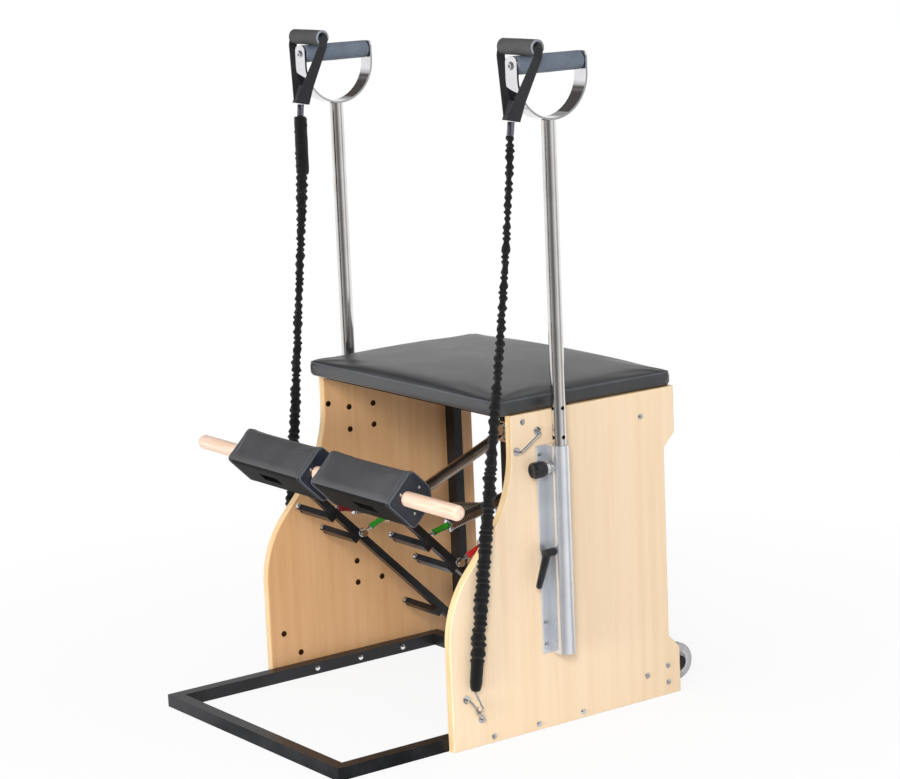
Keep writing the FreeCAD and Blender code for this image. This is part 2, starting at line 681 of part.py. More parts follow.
def coil_spring(length):
    """Extension spring along Z from its cap at zero to a side loop at length, as one unbroken wire."""
    radius = V.coil_radius
    wire = V.wire_radius
    bend = V.spring_bend
    bar_gap = V.end_loop_radius - wire - V.eye_rod - V.loop_play
    loop_at = length - bar_gap
    start = wire * 2 + bend
    stop = loop_at - V.end_run - bend
    pitch = (stop - start) / COIL_TURNS
    slope = math.atan2(pitch, 2 * math.pi * radius)

    def spot(turn):
        angle = 2 * math.pi * turn
        return Vector(radius * math.cos(angle), radius * math.sin(angle), start + pitch * turn)

    def heading(turn):
        angle = 2 * math.pi * turn
        flat = math.cos(slope)
        return Vector(-math.sin(angle) * flat, math.cos(angle) * flat, math.sin(slope))

    turn_in = math.pi / 2 - slope
    up = Vector(0, 0, 1)
    round_way = Vector(0, 1, 0)

    def lead(part):
        return up * bend * math.sin(turn_in * part) + round_way * bend * (1 - math.cos(turn_in * part))

    foot = spot(0) - lead(1)
    edges = [Part.LineSegment(Vector(foot.x, foot.y, 0), foot).toShape(),
             Part.Arc(foot, foot + lead(0.5), spot(0)).toShape()]
    for half_turn in range(COIL_TURNS * 2):
        here, there = half_turn / 2, (half_turn + 1) / 2
        edges += biarc(spot(here), heading(here), spot(there), heading(there))
    tail = spot(COIL_TURNS) + up * bend * math.sin(turn_in) + round_way * bend * (1 - math.cos(turn_in))
    back_half = tail - lead(0.5)
    edges.append(Part.Arc(spot(COIL_TURNS), back_half, tail).toShape())
    rim = Vector(tail.x, tail.y, loop_at)
    edges.append(Part.LineSegment(tail, rim).toShape())
    centre = rim - Vector(V.end_loop_radius, 0, 0)
    for begin in (0, 90):
        arc = [Vector(math.cos(math.radians(begin + step)), 0, math.sin(math.radians(begin + step)))
               * V.end_loop_radius + centre for step in (0, 45, 90)]
        edges.append(Part.Arc(*arc).toShape())
    samples = [spot(step / 48) for step in range(COIL_TURNS * 48 + 1)]
    least = min((samples[number] - samples[number + skip]).Length for skip in range(40, 56)
                for number in range(0, len(samples) - skip, 5)) - wire * 2
    print("spring of %d curls, least gap to itself %.2f mm" % (COIL_TURNS, least))
    return rod_along(Part.Wire(edges), wire, WIRE_SIDES)


def spring_line(side, reach, face, row):
    """Where one spring starts, its direction and its length."""
    x = arm_x.value * side + spring_offset.value * face
    frame = pedal_frame(side)
    stud = frame.multVec(Vector(spring_offset.value * face, V.stud_lift, reach.value))
    eye = Vector(x, V.rail_front - V.eye_plate_thick - V.eye_reach, row.value)
    return stud, (eye - stud).normalize(), (eye - stud).Length


def spring_and_hook(side_name, rank, reach, face, row):
    side = SIDES[side_name]
    stud, direction, length = spring_line(side, reach, face, row)
    name = "%s_%s" % (side_name, rank)
    turn = turn_to(direction, Vector(1, 0, 0))
    shape = coil_spring(length - V.hook_long)
    node(made(name + "_coil", shape, Placement(stud + direction * V.hook_long, turn)), name + "_spring")
    base = Placement(stud, turn)
    ring_at = S.hook_ring - S.hook_rod - S.stud_radius - S.seat_play
    route = ring_path(Vector(0, 0, ring_at.value), Vector(0, 0, 1), Vector(0, 1, 0), V.hook_ring, HOOK_TURN)
    gate = made(name + "_ring", rod_along(route, V.hook_rod, ROD_SIDES), base)
    shank_low = ring_at + S.hook_ring
    shank = rod(name + "_shank", base.multiply(at(0, 0, shank_low)), S.hook_rod,
                S.hook_long - S.cap_thick / 2 - shank_low)
    sleeve_low = S.hook_long - S.cap_thick - S.sleeve_long
    sleeve = rod(name + "_sleeve", base.multiply(at(0, 0, sleeve_low)), S.sleeve_radius, S.sleeve_long)
    cap = rod(name + "_cap", base.multiply(at(0, 0, S.hook_long - S.cap_thick)),
              S.coil_radius + S.wire_radius, S.cap_thick)
    node(fuse(name + "_hook_pieces", [gate, shank, sleeve, cap]), name + "_snap_hook")


def spring_eyes():
    """Plates on the spring rails, each with two upright staples, in two rows."""
    solids = []
    front = V.rail_front - V.eye_plate_thick
    loop_shift = V.coil_radius - V.end_loop_radius
    for side in SIDES.values():
        for row in (V.eye_upper_high, V.eye_lower_high):
            plate = Part.makeBox(V.eye_plate_wide, V.eye_plate_thick, V.eye_plate_high)
            corner = Vector(arm_x.value * side - V.eye_plate_wide / 2, front, row - V.eye_plate_high / 2)
            plate.translate(corner)
            for face in (-1, 1):
                x = arm_x.value * side + spring_offset.value * face + loop_shift
                root = front + V.eye_plate_thick / 2
                feet = [Vector(x, root, row + end * V.eye_span / 2) for end in (-1, 1)]
                reach = Vector(0, -V.eye_reach - V.eye_plate_thick / 2, 0)
                plate = plate.fuse(staple(feet[0], feet[1], reach, V.eye_rod, V.eye_bend))
            solids.append(plate)
    return node(made("eyes", Part.makeCompound(solids)), "spring_eyes")


def hollow_block(name, place, length, width, height, wall, along):
    """A straight rectangular tube, open at its two ends."""
    outer = block(name + "_outer", place, length, width, height)
    sizes = {"x": length, "y": width, "z": height}
    inner = {axis: size - wall * 2 if axis != along else size + S.overrun * 2 for axis, size in sizes.items()}
    shift = [wall if axis != along else -S.overrun for axis in "xyz"]
    core = block(name + "_core", place.multiply(at(*shift)), inner["x"], inner["y"], inner["z"])
    return cut(name, outer, core)


def rear_frame():
    """Posts against the panels, a cross rail behind them and the spring rails behind that."""
    posts = []
    rails = []
    post_rear = S.post_front + S.post_deep
    for side_name, side in SIDES.items():
        edge = panel_in * -1 if side < 0 else panel_in - S.post_wide
        posts.append(hollow_block(side_name + "_post", at(edge, S.post_front, 0), S.post_wide, S.post_deep,
                                  board_low, S.post_wall, "z"))
        rails.append(hollow_block(side_name + "_rail",
                                  at(arm_x * side - S.post_wide / 2, S.rail_front, S.rail_low),
                                  S.post_wide, S.post_deep, board_low - S.rail_low, S.post_wall, "z"))
    node(group("posts", posts), "rear_posts")
    node(group("rails", rails), "spring_rails")
    node(hollow_block("cross", at(-panel_in, post_rear, S.cross_low), panel_in * 2, S.rail_front - post_rear,
                      S.cross_high, S.post_wall, "x"), "rear_cross_rail")


def pole_bracket(name, side):
    """Extrusion with a mounting flange and a round-nosed socket for the pole."""
    body = body_named(name)
    sketch = sketch_on(body, "XY_Plane", S.bracket_low)
    face = panel_out * side
    out = (panel_out + S.flange_thick) * side
    half = S.flange_wide / 2
    nose = S.bracket_radius
    far = (pole_x + nose) * side
    middle = pole_x * side
    points = [(face, S.pole_y - half), (out, S.pole_y - half), (out, S.pole_y - nose),
              (middle, S.pole_y - nose), (far, S.pole_y), (middle, S.pole_y + nose),
              (out, S.pole_y + nose), (out, S.pole_y + half), (face, S.pole_y + half)]
    outline(sketch, points, {3: (nose, side), 4: (nose, side)})
    ring(sketch, S.pole_radius + S.pole_play, (pole_x * side, S.pole_y))
    pad(body, sketch, S.bracket_high)
    for high, radius in ((S.plunger_high, S.collar_radius + S.collar_play),
                         (S.lever_high, S.lever_stud + S.collar_play)):
        hole = sketch_on(body, "XZ_Plane", -S.pole_y)
        ring(hole, radius, (pole_x * side, high))
        pocket(body, hole, S.bracket_radius + S.overrun, reverse=True)
    return node(body, name)


def dome(name, radius, thick):
    """Low round screw head, seated at zero."""
    rim = thick * S.head_rim_share
    return turned(name, [(NONE, NONE), (radius, NONE), (radius, rim), (radius / 2, thick), (NONE, thick)])


def fasteners():
    """Screw heads on the bracket flanges and bolt heads on the panels."""
    screw = dome("bracket_screw", S.screw_radius, S.screw_thick)
    bolt = dome("panel_bolt", S.bolt_radius, S.bolt_thick)
    screws = []
    bolts = []
    top = S.bracket_low + S.bracket_high
    for side in SIDES.values():
        facing = ALONG["x" if side > 0 else "-x"]
        for across in (-1, 1):
            for high in (S.bracket_low + S.screw_end, S.bracket_low + S.screw_second, top - S.screw_second,
                         top - S.screw_end):
                screws.append(at((panel_out + S.flange_thick) * side,
                                 S.pole_y + S.screw_pitch / 2 * across, high,
                                 facing))
        post_middle = S.post_front + S.post_deep / 2
        spots = [(S.seat_bolt_y, S.panel_high - S.seat_bolt_drop), (post_middle, S.post_bolt_high),
                 (post_middle, S.post_bolt_low), (S.wheel_bolt_y, S.wheel_bolt_low),
                 (S.wheel_bolt_y, S.wheel_bolt_high)]
        spots += [(S.base_bolt_front + S.base_bolt_pitch * number, S.bar_size / 2) for number in range(3)]
        bolts += [at(panel_out * side, y, z, facing) for y, z in spots]
    node(scatter("screws", screw, screws), "bracket_screws")
    node(scatter("bolts", bolt, bolts), "panel_bolts")


def cord_anchors():
    """Wire staples on round feet, two on the outside of each panel."""
    solids = []
    for side in SIDES.values():
        out = Vector(side, 0, 0)
        for y, z, run, rise in ((V.upper_anchor_y, V.upper_anchor_z, V.upper_anchor_run, V.upper_anchor_rise),
                                (V.lower_anchor_y, V.lower_anchor_z, V.lower_anchor_run, V.lower_anchor_rise)):
            feet = [Vector(panel_out.value * side, y, z), Vector(panel_out.value * side, y + run, z + rise)]
            solid = staple(feet[0], feet[1], out * V.anchor_stand, V.anchor_rod, V.anchor_bend)
            for foot in feet:
                solid = solid.fuse(Part.makeCylinder(V.anchor_foot, V.anchor_foot_thick, foot, out))
            solids.append(solid)
    return node(made("anchors", Part.makeCompound(solids)), "cord_anchors")


def wheel_brackets():
    """Plates inside the panels with a headed stub axle each."""
    solids = []
    for side_name, side in SIDES.items():
        plate = body_named(side_name + "_plate")
        edge = panel_in - S.bracket_plate if side > 0 else -panel_in
        sketch = sketch_on(plate, "YZ_Plane", edge)
        top = S.plate_low + S.plate_high
        end = S.wheel_y
        outline(sketch, [(S.plate_front, S.plate_low), (end, S.wheel_high - S.plate_round),
                         (end + S.plate_round, S.wheel_high), (end, S.wheel_high + S.plate_round),
                         (S.plate_front, top)], {1: (S.plate_round, 1), 2: (S.plate_round, 1)})
        pad(plate, sketch, S.bracket_plate)
        start = (panel_in - S.bracket_plate / 2) * side
        long = S.bracket_plate / 2 + S.wheel_wide + S.wheel_gap * 2
        facing = ALONG["-x" if side > 0 else "x"]
        axle = rod(side_name + "_axle", at(start, S.wheel_y, S.wheel_high, facing), S.axle_radius, long)
        head = rod(side_name + "_axle_head", at(start - long * side, S.wheel_y, S.wheel_high, facing),
                   S.axle_head_radius, S.axle_head_thick)
        solids.append(fuse(side_name + "_wheel_bracket", [plate, axle, head]))
    return node(group("wheel_brackets", solids), "wheel_brackets")


def wheel(side_name, side):
    """Soft tyre on a stepped hub."""
    start = panel_in - S.bracket_plate - S.wheel_gap
    place = at(start * side, S.wheel_y, S.wheel_high, ALONG["-x" if side > 0 else "x"])
    wide = S.wheel_wide
    flat = S.tyre_radius - S.tyre_round
    tyre = turned(side_name + "_tyre", [
        (S.hub_radius, NONE), (flat, NONE), (S.tyre_radius, S.tyre_round),
        (S.tyre_radius, wide - S.tyre_round), (flat, wide), (S.hub_radius, wide)], place,
        {1: (S.tyre_round, 1), 3: (S.tyre_round, 1)})
    bore = S.axle_radius + S.axle_play
    web = S.hub_radius * S.hub_web_share
    boss = S.hub_radius * S.hub_boss_share
    dish = wide * S.hub_dish_share
    hub = turned(side_name + "_hub", [
        (bore, NONE), (boss, NONE), (boss, dish), (web, dish), (web, NONE), (S.hub_radius, NONE),
        (S.hub_radius, wide), (web, wide), (web, wide - dish), (boss, wide - dish), (boss, wide),
        (bore, wide)], place)
    node(tyre, side_name + "_wheel_tyre")
    node(hub, side_name + "_wheel_hub")


def pole(name, side):
    """Steel tube with rows of index holes to the front and to the outside."""
    body = body_named(name, at(pole_x * side, S.pole_y, 0))
    sketch = sketch_on(body, "XY_Plane", S.pole_low)
    ring(sketch, S.pole_radius)
    ring(sketch, S.pole_radius - S.pole_wall)
    pad(body, sketch, S.pole_top - S.pole_low)
    for plane, reverse in (("XZ_Plane", True), ("YZ_Plane", side > 0)):
        holes = sketch_on(body, plane)
        for step in range(-2, 3):
            ring(holes, S.index_radius, (NONE, S.plunger_high + S.index_pitch * step))
        pocket(body, holes, S.pole_radius + S.overrun, reverse=reverse)
    return node(body, name)


def handle_strap(name, side):
    """Flat strap bent to a D, its foot on the pole's top and its ends rounded."""
    body = body_named(name)
    sketch = sketch_on(body, "YZ_Plane", pole_x * side)
    outer = S.strap_radius
    inner = S.strap_radius - S.strap_thick
    bottom = S.pole_top
    centre = S.pole_top + outer
    top = grip_high + S.strap_end
    middle = S.pole_y
    outline(sketch, [(middle - outer, top), (middle - outer, centre), (middle, bottom),
                     (middle + outer, centre), (middle + outer, top),
                     (middle + inner, top), (middle + inner, centre),
                     (middle, bottom + S.strap_thick), (middle - inner, centre), (middle - inner, top)],
            {1: (outer, 1), 2: (outer, 1), 6: (inner, -1), 7: (inner, -1)})
    pad(body, sketch, S.strap_wide, both_ways=True)

    def leg_end(edge):
        flat = edge.BoundBox.ZLength < V.edge_pick and edge.BoundBox.XLength < V.edge_pick
        return flat and abs(edge.BoundBox.ZMax - top.value) < V.edge_pick

    round_edges(body, S.strap_corner, leg_end)
    return node(body, name)


def foam_grip(name, side):
    """Foam tube between the legs of the strap."""
    long = (S.strap_radius - S.strap_thick - S.soft_gap) * 2
    end = S.grip_radius - S.grip_round
    place = at(pole_x * side, S.pole_y + long / 2, grip_high, ALONG["-y"])
    body = turned(name, [(NONE, NONE), (end, NONE), (S.grip_radius, S.grip_round),
                         (S.grip_radius, long - S.grip_round), (end, long), (NONE, long)], place,
                  {1: (S.grip_round, 1), 3: (S.grip_round, 1)})
    return node(body, name)


pull_high = grip_high + S.grip_radius + S.pull_radius + S.soft_gap


def pull_frame(side):
    """The frame of one pull handle: X along the grip, Z down the webbing."""
    lean = math.radians(V.web_lean)
    down = Vector(0, -math.sin(lean), -math.cos(lean))
    return Placement(Vector(pole_x.value * side, V.pull_y, pull_high.value), turn_to(down, Vector(1, 0, 0)))


def cord_ends(side):
    """Both ends of one cord and its direction, from the swivel sleeve down to the cuff."""
    low = Vector((panel_out.value + V.cord_stand) * side, V.cord_low_y, V.cord_low_z)
    neck = pull_frame(side).multVec(Vector(0, 0, V.web_drop + V.web_thick + V.soft_gap))
    down = (low - neck).normalize()
    return neck + down * V.swivel_long, low, down


def pull_handle(side_name, side):
    """Hollow hand grip with a loop of webbing through it, gathered at a swivel sleeve."""
    frame = pull_frame(side)
    half = S.pull_long / 2
    grip = turned(side_name + "_pull", [(S.pull_bore, -half), (S.pull_radius, -half), (S.pull_radius, half),
                                        (S.pull_bore, half)],
                  frame.multiply(at(0, 0, 0, ALONG["x"])))
    node(grip, side_name + "_pull_grip")
    corners = [(-V.web_half, 0), (V.web_half, 0), (V.web_half, V.web_edge), (V.web_neck, V.web_drop),
               (-V.web_neck, V.web_drop), (-V.web_half, V.web_edge)]
    loop = Part.Wire(Part.makePolygon([Vector(x, 0, z) for x, z in corners + corners[:1]]))
    face = Part.Face(loop)
    outer = face.makeOffset2D(V.web_thick / 2, join=2)
    inner = face.makeOffset2D(-V.web_thick / 2, join=2)
    strap = outer.cut(inner).extrude(Vector(0, V.web_strap, 0))
    strap.translate(Vector(0, -V.web_strap / 2, 0))
    wide = V.web_strap / 2
    pinch = V.web_pinch / 2
    below = V.web_drop + V.overrun
    taper = [(-pinch, -V.overrun), (pinch, -V.overrun), (pinch, V.web_edge), (wide, V.web_drop),
             (wide, below), (-wide, below), (-wide, V.web_drop), (-pinch, V.web_edge)]
    sides = Part.makePolygon([Vector(-V.web_half * 2, y, z) for y, z in taper + taper[:1]])
    strap = strap.common(Part.Face(sides).extrude(Vector(V.web_half * 4, 0, 0)))
    strap.Placement = frame.multiply(strap.Placement)
    top, low, down = cord_ends(side)
    swivel = Part.makeCylinder(V.swivel_radius, V.swivel_long, top - down * V.swivel_long, down)
    solids = strap.Solids + [swivel]
    node(made(side_name + "_webbing", Part.makeCompound(solids)), side_name + "_pull_webbing")


def elastic_cord(side_name, side):
    """Cord pulled straight from the swivel sleeve to its cuff, and the hook in the lower anchor."""
    top, low, down = cord_ends(side)
    cord = Part.makeCylinder(V.cord_radius, (low - top).Length, top, down)
    print("%s cord %.0f mm long, one straight run" % (side_name, (low - top).Length))
    node(made(side_name + "_cord_run", cord), side_name + "_cord")
    cuff_end = low + down * V.cuff_long
    cuff = Part.makeCylinder(V.cord_radius, V.cuff_long, low, down)
    node(made(side_name + "_cuff", cuff), side_name + "_cord_cuff")
    bar_along = Vector(0, V.lower_anchor_run, V.lower_anchor_rise).normalize()
    across = Vector(0, -bar_along.z, bar_along.y)
    bar = Vector((panel_out.value + V.anchor_stand) * side, V.lower_anchor_y + V.lower_anchor_run / 2,
                 V.lower_anchor_z + V.lower_anchor_rise / 2)
    play = V.cord_hook_ring - V.cord_hook_rod - V.anchor_rod - V.seat_play
    centre = bar + across * play
    round_way = bar_along.cross(across)
    ring_line = ring_path(centre, across, round_way, V.cord_hook_ring, HOOK_TURN)
    hook = rod_along(ring_line, V.cord_hook_rod, ROD_SIDES)
    knee = centre + across * V.cord_hook_ring
    rise = cuff_end - knee
    shank = Part.makeCylinder(V.cord_hook_rod, rise.Length + V.cord_hook_rod, knee, rise.normalize())
    node(made(side_name + "_hook_wire", hook.fuse(shank).cut(cuff)), side_name + "_cord_hook")


bracket_front = S.pole_y - S.bracket_radius
pole_front = S.pole_y - S.pole_radius


def plunger(side_name, side):
    """Fluted knob with its pin; the pin's tip stands just clear of the pole."""
    collar_root = pole_front - S.pole_play - S.tip_gap
    collar_long = collar_root - bracket_front + S.collar_gap + S.collar_flange_thick
    flange = collar_long - S.collar_flange_thick
    bore = S.plunger_pin + S.collar_play
    place = at(pole_x * side, collar_root, S.plunger_high, ALONG["-y"])
    collar = turned(side_name + "_collar", [
        (bore, NONE), (S.collar_radius, NONE), (S.collar_radius, flange), (S.collar_flange, flange),
        (S.collar_flange, collar_long), (bore, collar_long)], place)
    pin_long = pole_front - S.tip_gap - collar_root + collar_long + S.tip_gap
    place = at(pole_x * side, pole_front - S.tip_gap, S.plunger_high, ALONG["-y"])
    end = pin_long + S.knob_long
    knob = turned(side_name + "_knob", [
        (NONE, NONE), (S.plunger_pin, NONE), (S.plunger_pin, pin_long),
        (S.knob_radius - S.knob_round, pin_long), (S.knob_radius, pin_long + S.knob_round),
        (S.knob_radius, end - S.knob_round),
        (S.knob_radius - S.knob_round, end), (NONE, end)], place)
    flute = sketch_on(knob, "XY_Plane", pin_long - S.overrun)
    ring(flute, S.flute_radius, (S.knob_radius + S.flute_radius - S.flute_deep, NONE))
    groove = pocket(knob, flute, S.knob_long + S.overrun * 2, reverse=True)
    pattern = knob.newObject("PartDesign::PolarPattern", knob.Name + "_flutes")
    pattern.Originals = [groove]
    for feature in knob.Origin.OriginFeatures:
        if feature.Role == "Z_Axis":
            pattern.Axis = (feature, [""])
    pattern.Angle = 360
    pattern.Occurrences = KNOB_FLUTES
    knob.Tip = pattern
    node(knob, side_name + "_plunger_knob")
    return collar


def plungers():
    collars = [plunger(side_name, side) for side_name, side in SIDES.items()]
    node(group("collars", collars), "plunger_collars")


def clamp_lever(name, side):
    """Moulded lever: hub on its stud and a tapered arm that leans away from the bracket."""
    tip = pole_front - S.tip_gap
    hub_start = bracket_front - S.lever_stand
    place = at(pole_x * side, tip, S.lever_high, ALONG["-y"])
    stud = rod(name + "_stud", place, S.lever_stud, tip - hub_start + S.lever_hub_long / 2)
    hub = rod(name + "_hub", at(pole_x * side, hub_start, S.lever_high, ALONG["-y"]), S.lever_hub,
              S.lever_hub_long)
    arm = bind(doc.addObject("Part::Cone", name + "_arm"), Radius1=S.lever_hub, Radius2=S.lever_tip,
               Height=S.lever_arm_long)
    arm.Placement = at(pole_x * side, hub_start - S.lever_hub_long + S.lever_hub, S.lever_high,
                       Rotation(Vector(1, 0, 0), 180 - V.lever_arm_tilt))
    knuckle = bind(doc.addObject("Part::Sphere", name + "_knuckle"), Radius=S.lever_tip)
    lean = math.radians(V.lever_arm_tilt)
    end = S.lever_arm_long
    knuckle.Placement = at(pole_x * side, hub_start - S.lever_hub_long + S.lever_hub - end * math.sin(lean),
                           S.lever_high - end * math.cos(lean))
    return node(fuse(name, [stud, hub, arm, knuckle]), name)


seat_board()
seat_cushion()
base_frame()
hinge_pins()
rear_frame()
spring_eyes()
fasteners()
cord_anchors()
wheel_brackets()
plungers()
dowel()
for side_name, side in SIDES.items():
    side_panel(side_name + "_side_panel", side)
    pole_bracket(side_name + "_pole_bracket", side)
    wheel(side_name, side)
    pedal_arm(side_name + "_pedal_arm", side)
    pedal_pad(side_name, side)
    spring_pegs(side_name + "_spring_pegs", side)
    spring_studs(side_name + "_spring_studs", side)
    pole(side_name + "_pole", side)
    handle_strap(side_name + "_handle_strap", side)
    foam_grip(side_name + "_foam_grip", side)
    pull_handle(side_name, side)
    elastic_cord(side_name, side)
    clamp_lever(side_name + "_clamp_lever", side)
for spring in SPRINGS:
    spring_and_hook(*spring)

doc.recompute()
failed = [item.Label for item in doc.Objects if {"Invalid", "Error"} & set(item.State)]
failed += [item.Label for item in nodes if item.Shape.isNull() or not item.Shape.isValid()]
if failed:
    raise RuntimeError("not built: " + ", ".join(failed))
os.makedirs("parts", exist_ok=True)
for item in nodes:
    item.Shape.exportStep("parts/%s.step" % item.Label)
print("%d nodes written" % len(nodes))
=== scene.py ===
"""Looks of a pilates chair: plywood sides, padded seat and pedals, springs, poles with D handles and pull cords."""
import json
import math

import bmesh
import bpy
from mathutils import Matrix, Vector, noise


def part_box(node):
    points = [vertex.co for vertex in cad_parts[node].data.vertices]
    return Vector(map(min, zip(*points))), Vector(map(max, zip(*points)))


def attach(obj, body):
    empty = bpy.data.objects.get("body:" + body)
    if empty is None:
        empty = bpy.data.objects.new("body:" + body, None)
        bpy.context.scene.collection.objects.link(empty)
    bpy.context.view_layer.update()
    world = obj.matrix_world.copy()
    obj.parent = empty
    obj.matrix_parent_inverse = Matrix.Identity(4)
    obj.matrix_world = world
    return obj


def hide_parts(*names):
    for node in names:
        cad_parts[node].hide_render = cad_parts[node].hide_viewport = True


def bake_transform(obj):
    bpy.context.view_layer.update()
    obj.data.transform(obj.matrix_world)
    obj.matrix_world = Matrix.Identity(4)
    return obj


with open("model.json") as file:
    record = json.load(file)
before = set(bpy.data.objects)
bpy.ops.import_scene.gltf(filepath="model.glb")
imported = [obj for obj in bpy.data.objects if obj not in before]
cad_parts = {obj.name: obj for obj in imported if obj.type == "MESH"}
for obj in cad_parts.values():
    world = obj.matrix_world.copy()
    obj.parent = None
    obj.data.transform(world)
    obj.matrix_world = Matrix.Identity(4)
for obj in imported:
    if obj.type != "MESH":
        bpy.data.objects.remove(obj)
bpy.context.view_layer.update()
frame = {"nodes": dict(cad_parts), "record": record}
scene = bpy.context.scene
scene.view_settings.view_transform = "Standard"

SIDES = {"left": -1, "right": 1}

# Sizes shared with the solids, in metres
PIVOT = Vector((0, 0.2235, 0.046))
ARM_X = 0.165
TILT = math.radians(45.7)
DOWEL_REACH = 0.638
POLE = Vector((0.35, 0.072, 0))
STUD_LIFT = 0.0035
PANEL_OUT = 0.3245
PANEL_IN = 0.3065


# Shader sums

class Value:
    """A shader socket whose sums add Math nodes."""

    def __init__(self, finish, socket):
        self.finish = finish
        self.socket = socket

    def sum(self, operation, first, second):
        return self.finish.node("Math", {"operation": operation}, {0: first, 1: second})

    def __add__(self, other):
        return self.sum("ADD", self, other)

    def __sub__(self, other):
        return self.sum("SUBTRACT", self, other)

    def __rsub__(self, other):
        return self.sum("SUBTRACT", other, self)

    def __mul__(self, other):
        return self.sum("MULTIPLY", self, other)

    def __truediv__(self, other):
        return self.sum("DIVIDE", self, other)

    def __lt__(self, other):
        return self.sum("LESS_THAN", self, other)

    def __gt__(self, other):
        return self.sum("GREATER_THAN", self, other)

    def __abs__(self):
        return self.sum("ABSOLUTE", self, 0)

    __radd__ = __add__
    __rmul__ = __mul__


class Finish:
    """A procedural material, or the studio's world, on Object coordinates."""

    def __init__(self, name, world=False):
        self.material = (bpy.data.worlds if world else bpy.data.materials).new(name)
        self.material.use_nodes = True
        self.tree = self.material.node_tree
        self.shader = self.tree.nodes["Background" if world else "Principled BSDF"]

    def node(self, kind, settings, inputs, output=0):
        made = self.tree.nodes.new("ShaderNode" + kind)
        for name, value in settings.items():
            if name == "stops":
                while len(made.color_ramp.elements) < len(value):
                    made.color_ramp.elements.new(1)
                for element, (place, colour) in zip(made.color_ramp.elements, value):
                    element.position = place
                    element.color = colour
            else:
                setattr(made, name, value)
        for name, value in inputs.items():
            if isinstance(value, Value):
                self.tree.links.new(value.socket, made.inputs[name])
            else:
                made.inputs[name].default_value = value
        return Value(self, made.outputs[output])

    def set(self, **inputs):
        """Set or link the shader's own sockets, named with low lines for spaces."""
        for name, value in inputs.items():
            socket = self.shader.inputs[name.replace("_", " ")]
            if isinstance(value, Value):
                self.tree.links.new(value.socket, socket)
            else:
                socket.default_value = value
        return self

    def place(self, scale=(1, 1, 1), turn=(0, 0, 0)):
        point = self.node("TexCoord", {}, {}, 3)
        return self.node("Mapping", {}, {"Vector": point, "Scale": scale, "Rotation": turn})

    def axis(self, number):
        return self.node("SeparateXYZ", {}, {"Vector": self.node("TexCoord", {}, {}, 3)}, number)

    def grain(self, scale, detail=3.0, rough=0.5, stretch=(1, 1, 1), turn=(0, 0, 0), warp=0.0):
        return self.node("TexNoise", {}, {"Vector": self.place(stretch, turn), "Scale": scale, "Detail": detail,
                                          "Roughness": rough, "Distortion": warp})

    def cells(self, scale, stretch=(1, 1, 1)):
        return self.node("TexVoronoi", {}, {"Vector": self.place(stretch), "Scale": scale})

    def ramp(self, value, *stops):
        stops = [(place, colour if isinstance(colour, tuple) else (colour, colour, colour, 1))
                 for place, colour in stops]
        return self.node("ValToRGB", {"stops": stops}, {"Fac": value})

    def mix(self, share, first, second):
        return self.node("Mix", {"data_type": "RGBA"}, {0: share, 6: first, 7: second}, 2)

    def bump(self, height, strength, depth):
        return self.node("Bump", {}, {"Height": height, "Strength": strength, "Distance": depth})


def tone(red, green, blue):
    """A colour as it is written for a screen, 0 to 255, turned to linear light."""
    parts = [value / 255 for value in (red, green, blue)]
    linear = [value / 12.92 if value <= 0.04045 else ((value + 0.055) / 1.055) ** 2.4 for value in parts]
    return (*linear, 1)


# Finishes

def maple():
    """Lacquered maple plywood: straight upright grain on the faces, warmer banding on the edges, inner faces painted
    darker and warmer as shade.
    """
    finish = Finish("maple_ply")
    streaks = finish.grain(60, 4, 0.6, (1, 1, 0.03), warp=0.3)
    broad = finish.grain(7, 2, 0.5, (1, 1, 0.12))
    flecks = finish.grain(420, 2, 0.5, (1, 1, 0.09))
    figure = streaks * 0.55 + broad * 0.35 + flecks * 0.1
    face = finish.ramp(figure, (0.34, tone(242, 213, 176)), (0.5, tone(247, 221, 187)), (0.68, tone(250, 227, 196)))
    # Painted shade: the inner faces get the same maple painted darker and warmer, standing in for the shade between the
    # panels.
    painted_shade_inside = finish.ramp(figure, (0.34, tone(212, 161, 110)), (0.5, tone(221, 173, 123)), (0.68, tone(229, 184, 136)))
    banding = finish.ramp(finish.grain(90, 3, 0.5, (1, 0.12, 0.12)), (0.35, tone(230, 194, 142)),
                          (0.65, tone(243, 212, 164)))
    across = abs(finish.axis(0))
    edge = (across > PANEL_IN + 0.0012) * (across < PANEL_OUT - 0.0012)
    # Painted shade: faces at or inside the inner face take the darker copy.
    wood = finish.mix(across < PANEL_IN + 0.0012, face, painted_shade_inside)
    colour = finish.mix(edge, wood, banding)
    return finish.set(Base_Color=colour, Roughness=streaks * 0.16 + 0.34, Coat_Weight=0.12, Coat_Roughness=0.25,
                      Normal=finish.bump(streaks + flecks * 0.5, 0.12, 0.0006)).material


def vinyl(name, base, light, rough=0.38, gloss=0.5):
    """Upholstery vinyl: fine pebble grain, soft sheen, faint rub marks."""
    finish = Finish(name)
    pebbles = finish.cells(820)
    wrinkle = finish.grain(160, 4, 0.6)
    rub = finish.grain(9, 4, 0.6)
    colour = finish.mix(finish.ramp(rub * 0.75 + pebbles * 0.3, (0.35, 0.0), (0.75, 1.0)), base, light)
    return finish.set(Base_Color=colour, Roughness=rub * 0.16 + rough, Specular_IOR_Level=gloss,
                      Normal=finish.bump(pebbles + wrinkle * 0.6, 0.22, 0.0005)).material


def powder_coat(name, base, light, rough=0.24, gloss=0.35):
    """Powder coat: fine orange peel, soft random patches a little lighter."""
    finish = Finish(name)
    peel = finish.grain(700, 2, 0.5)
    dust = finish.grain(14, 5, 0.65)
    colour = finish.mix(finish.ramp(dust, (0.42, 0.0), (0.75, 1.0)), base, light)
    return finish.set(Base_Color=colour, Roughness=dust * 0.2 + rough, Specular_IOR_Level=gloss,
                      Normal=finish.bump(peel, 0.16, 0.0004)).material


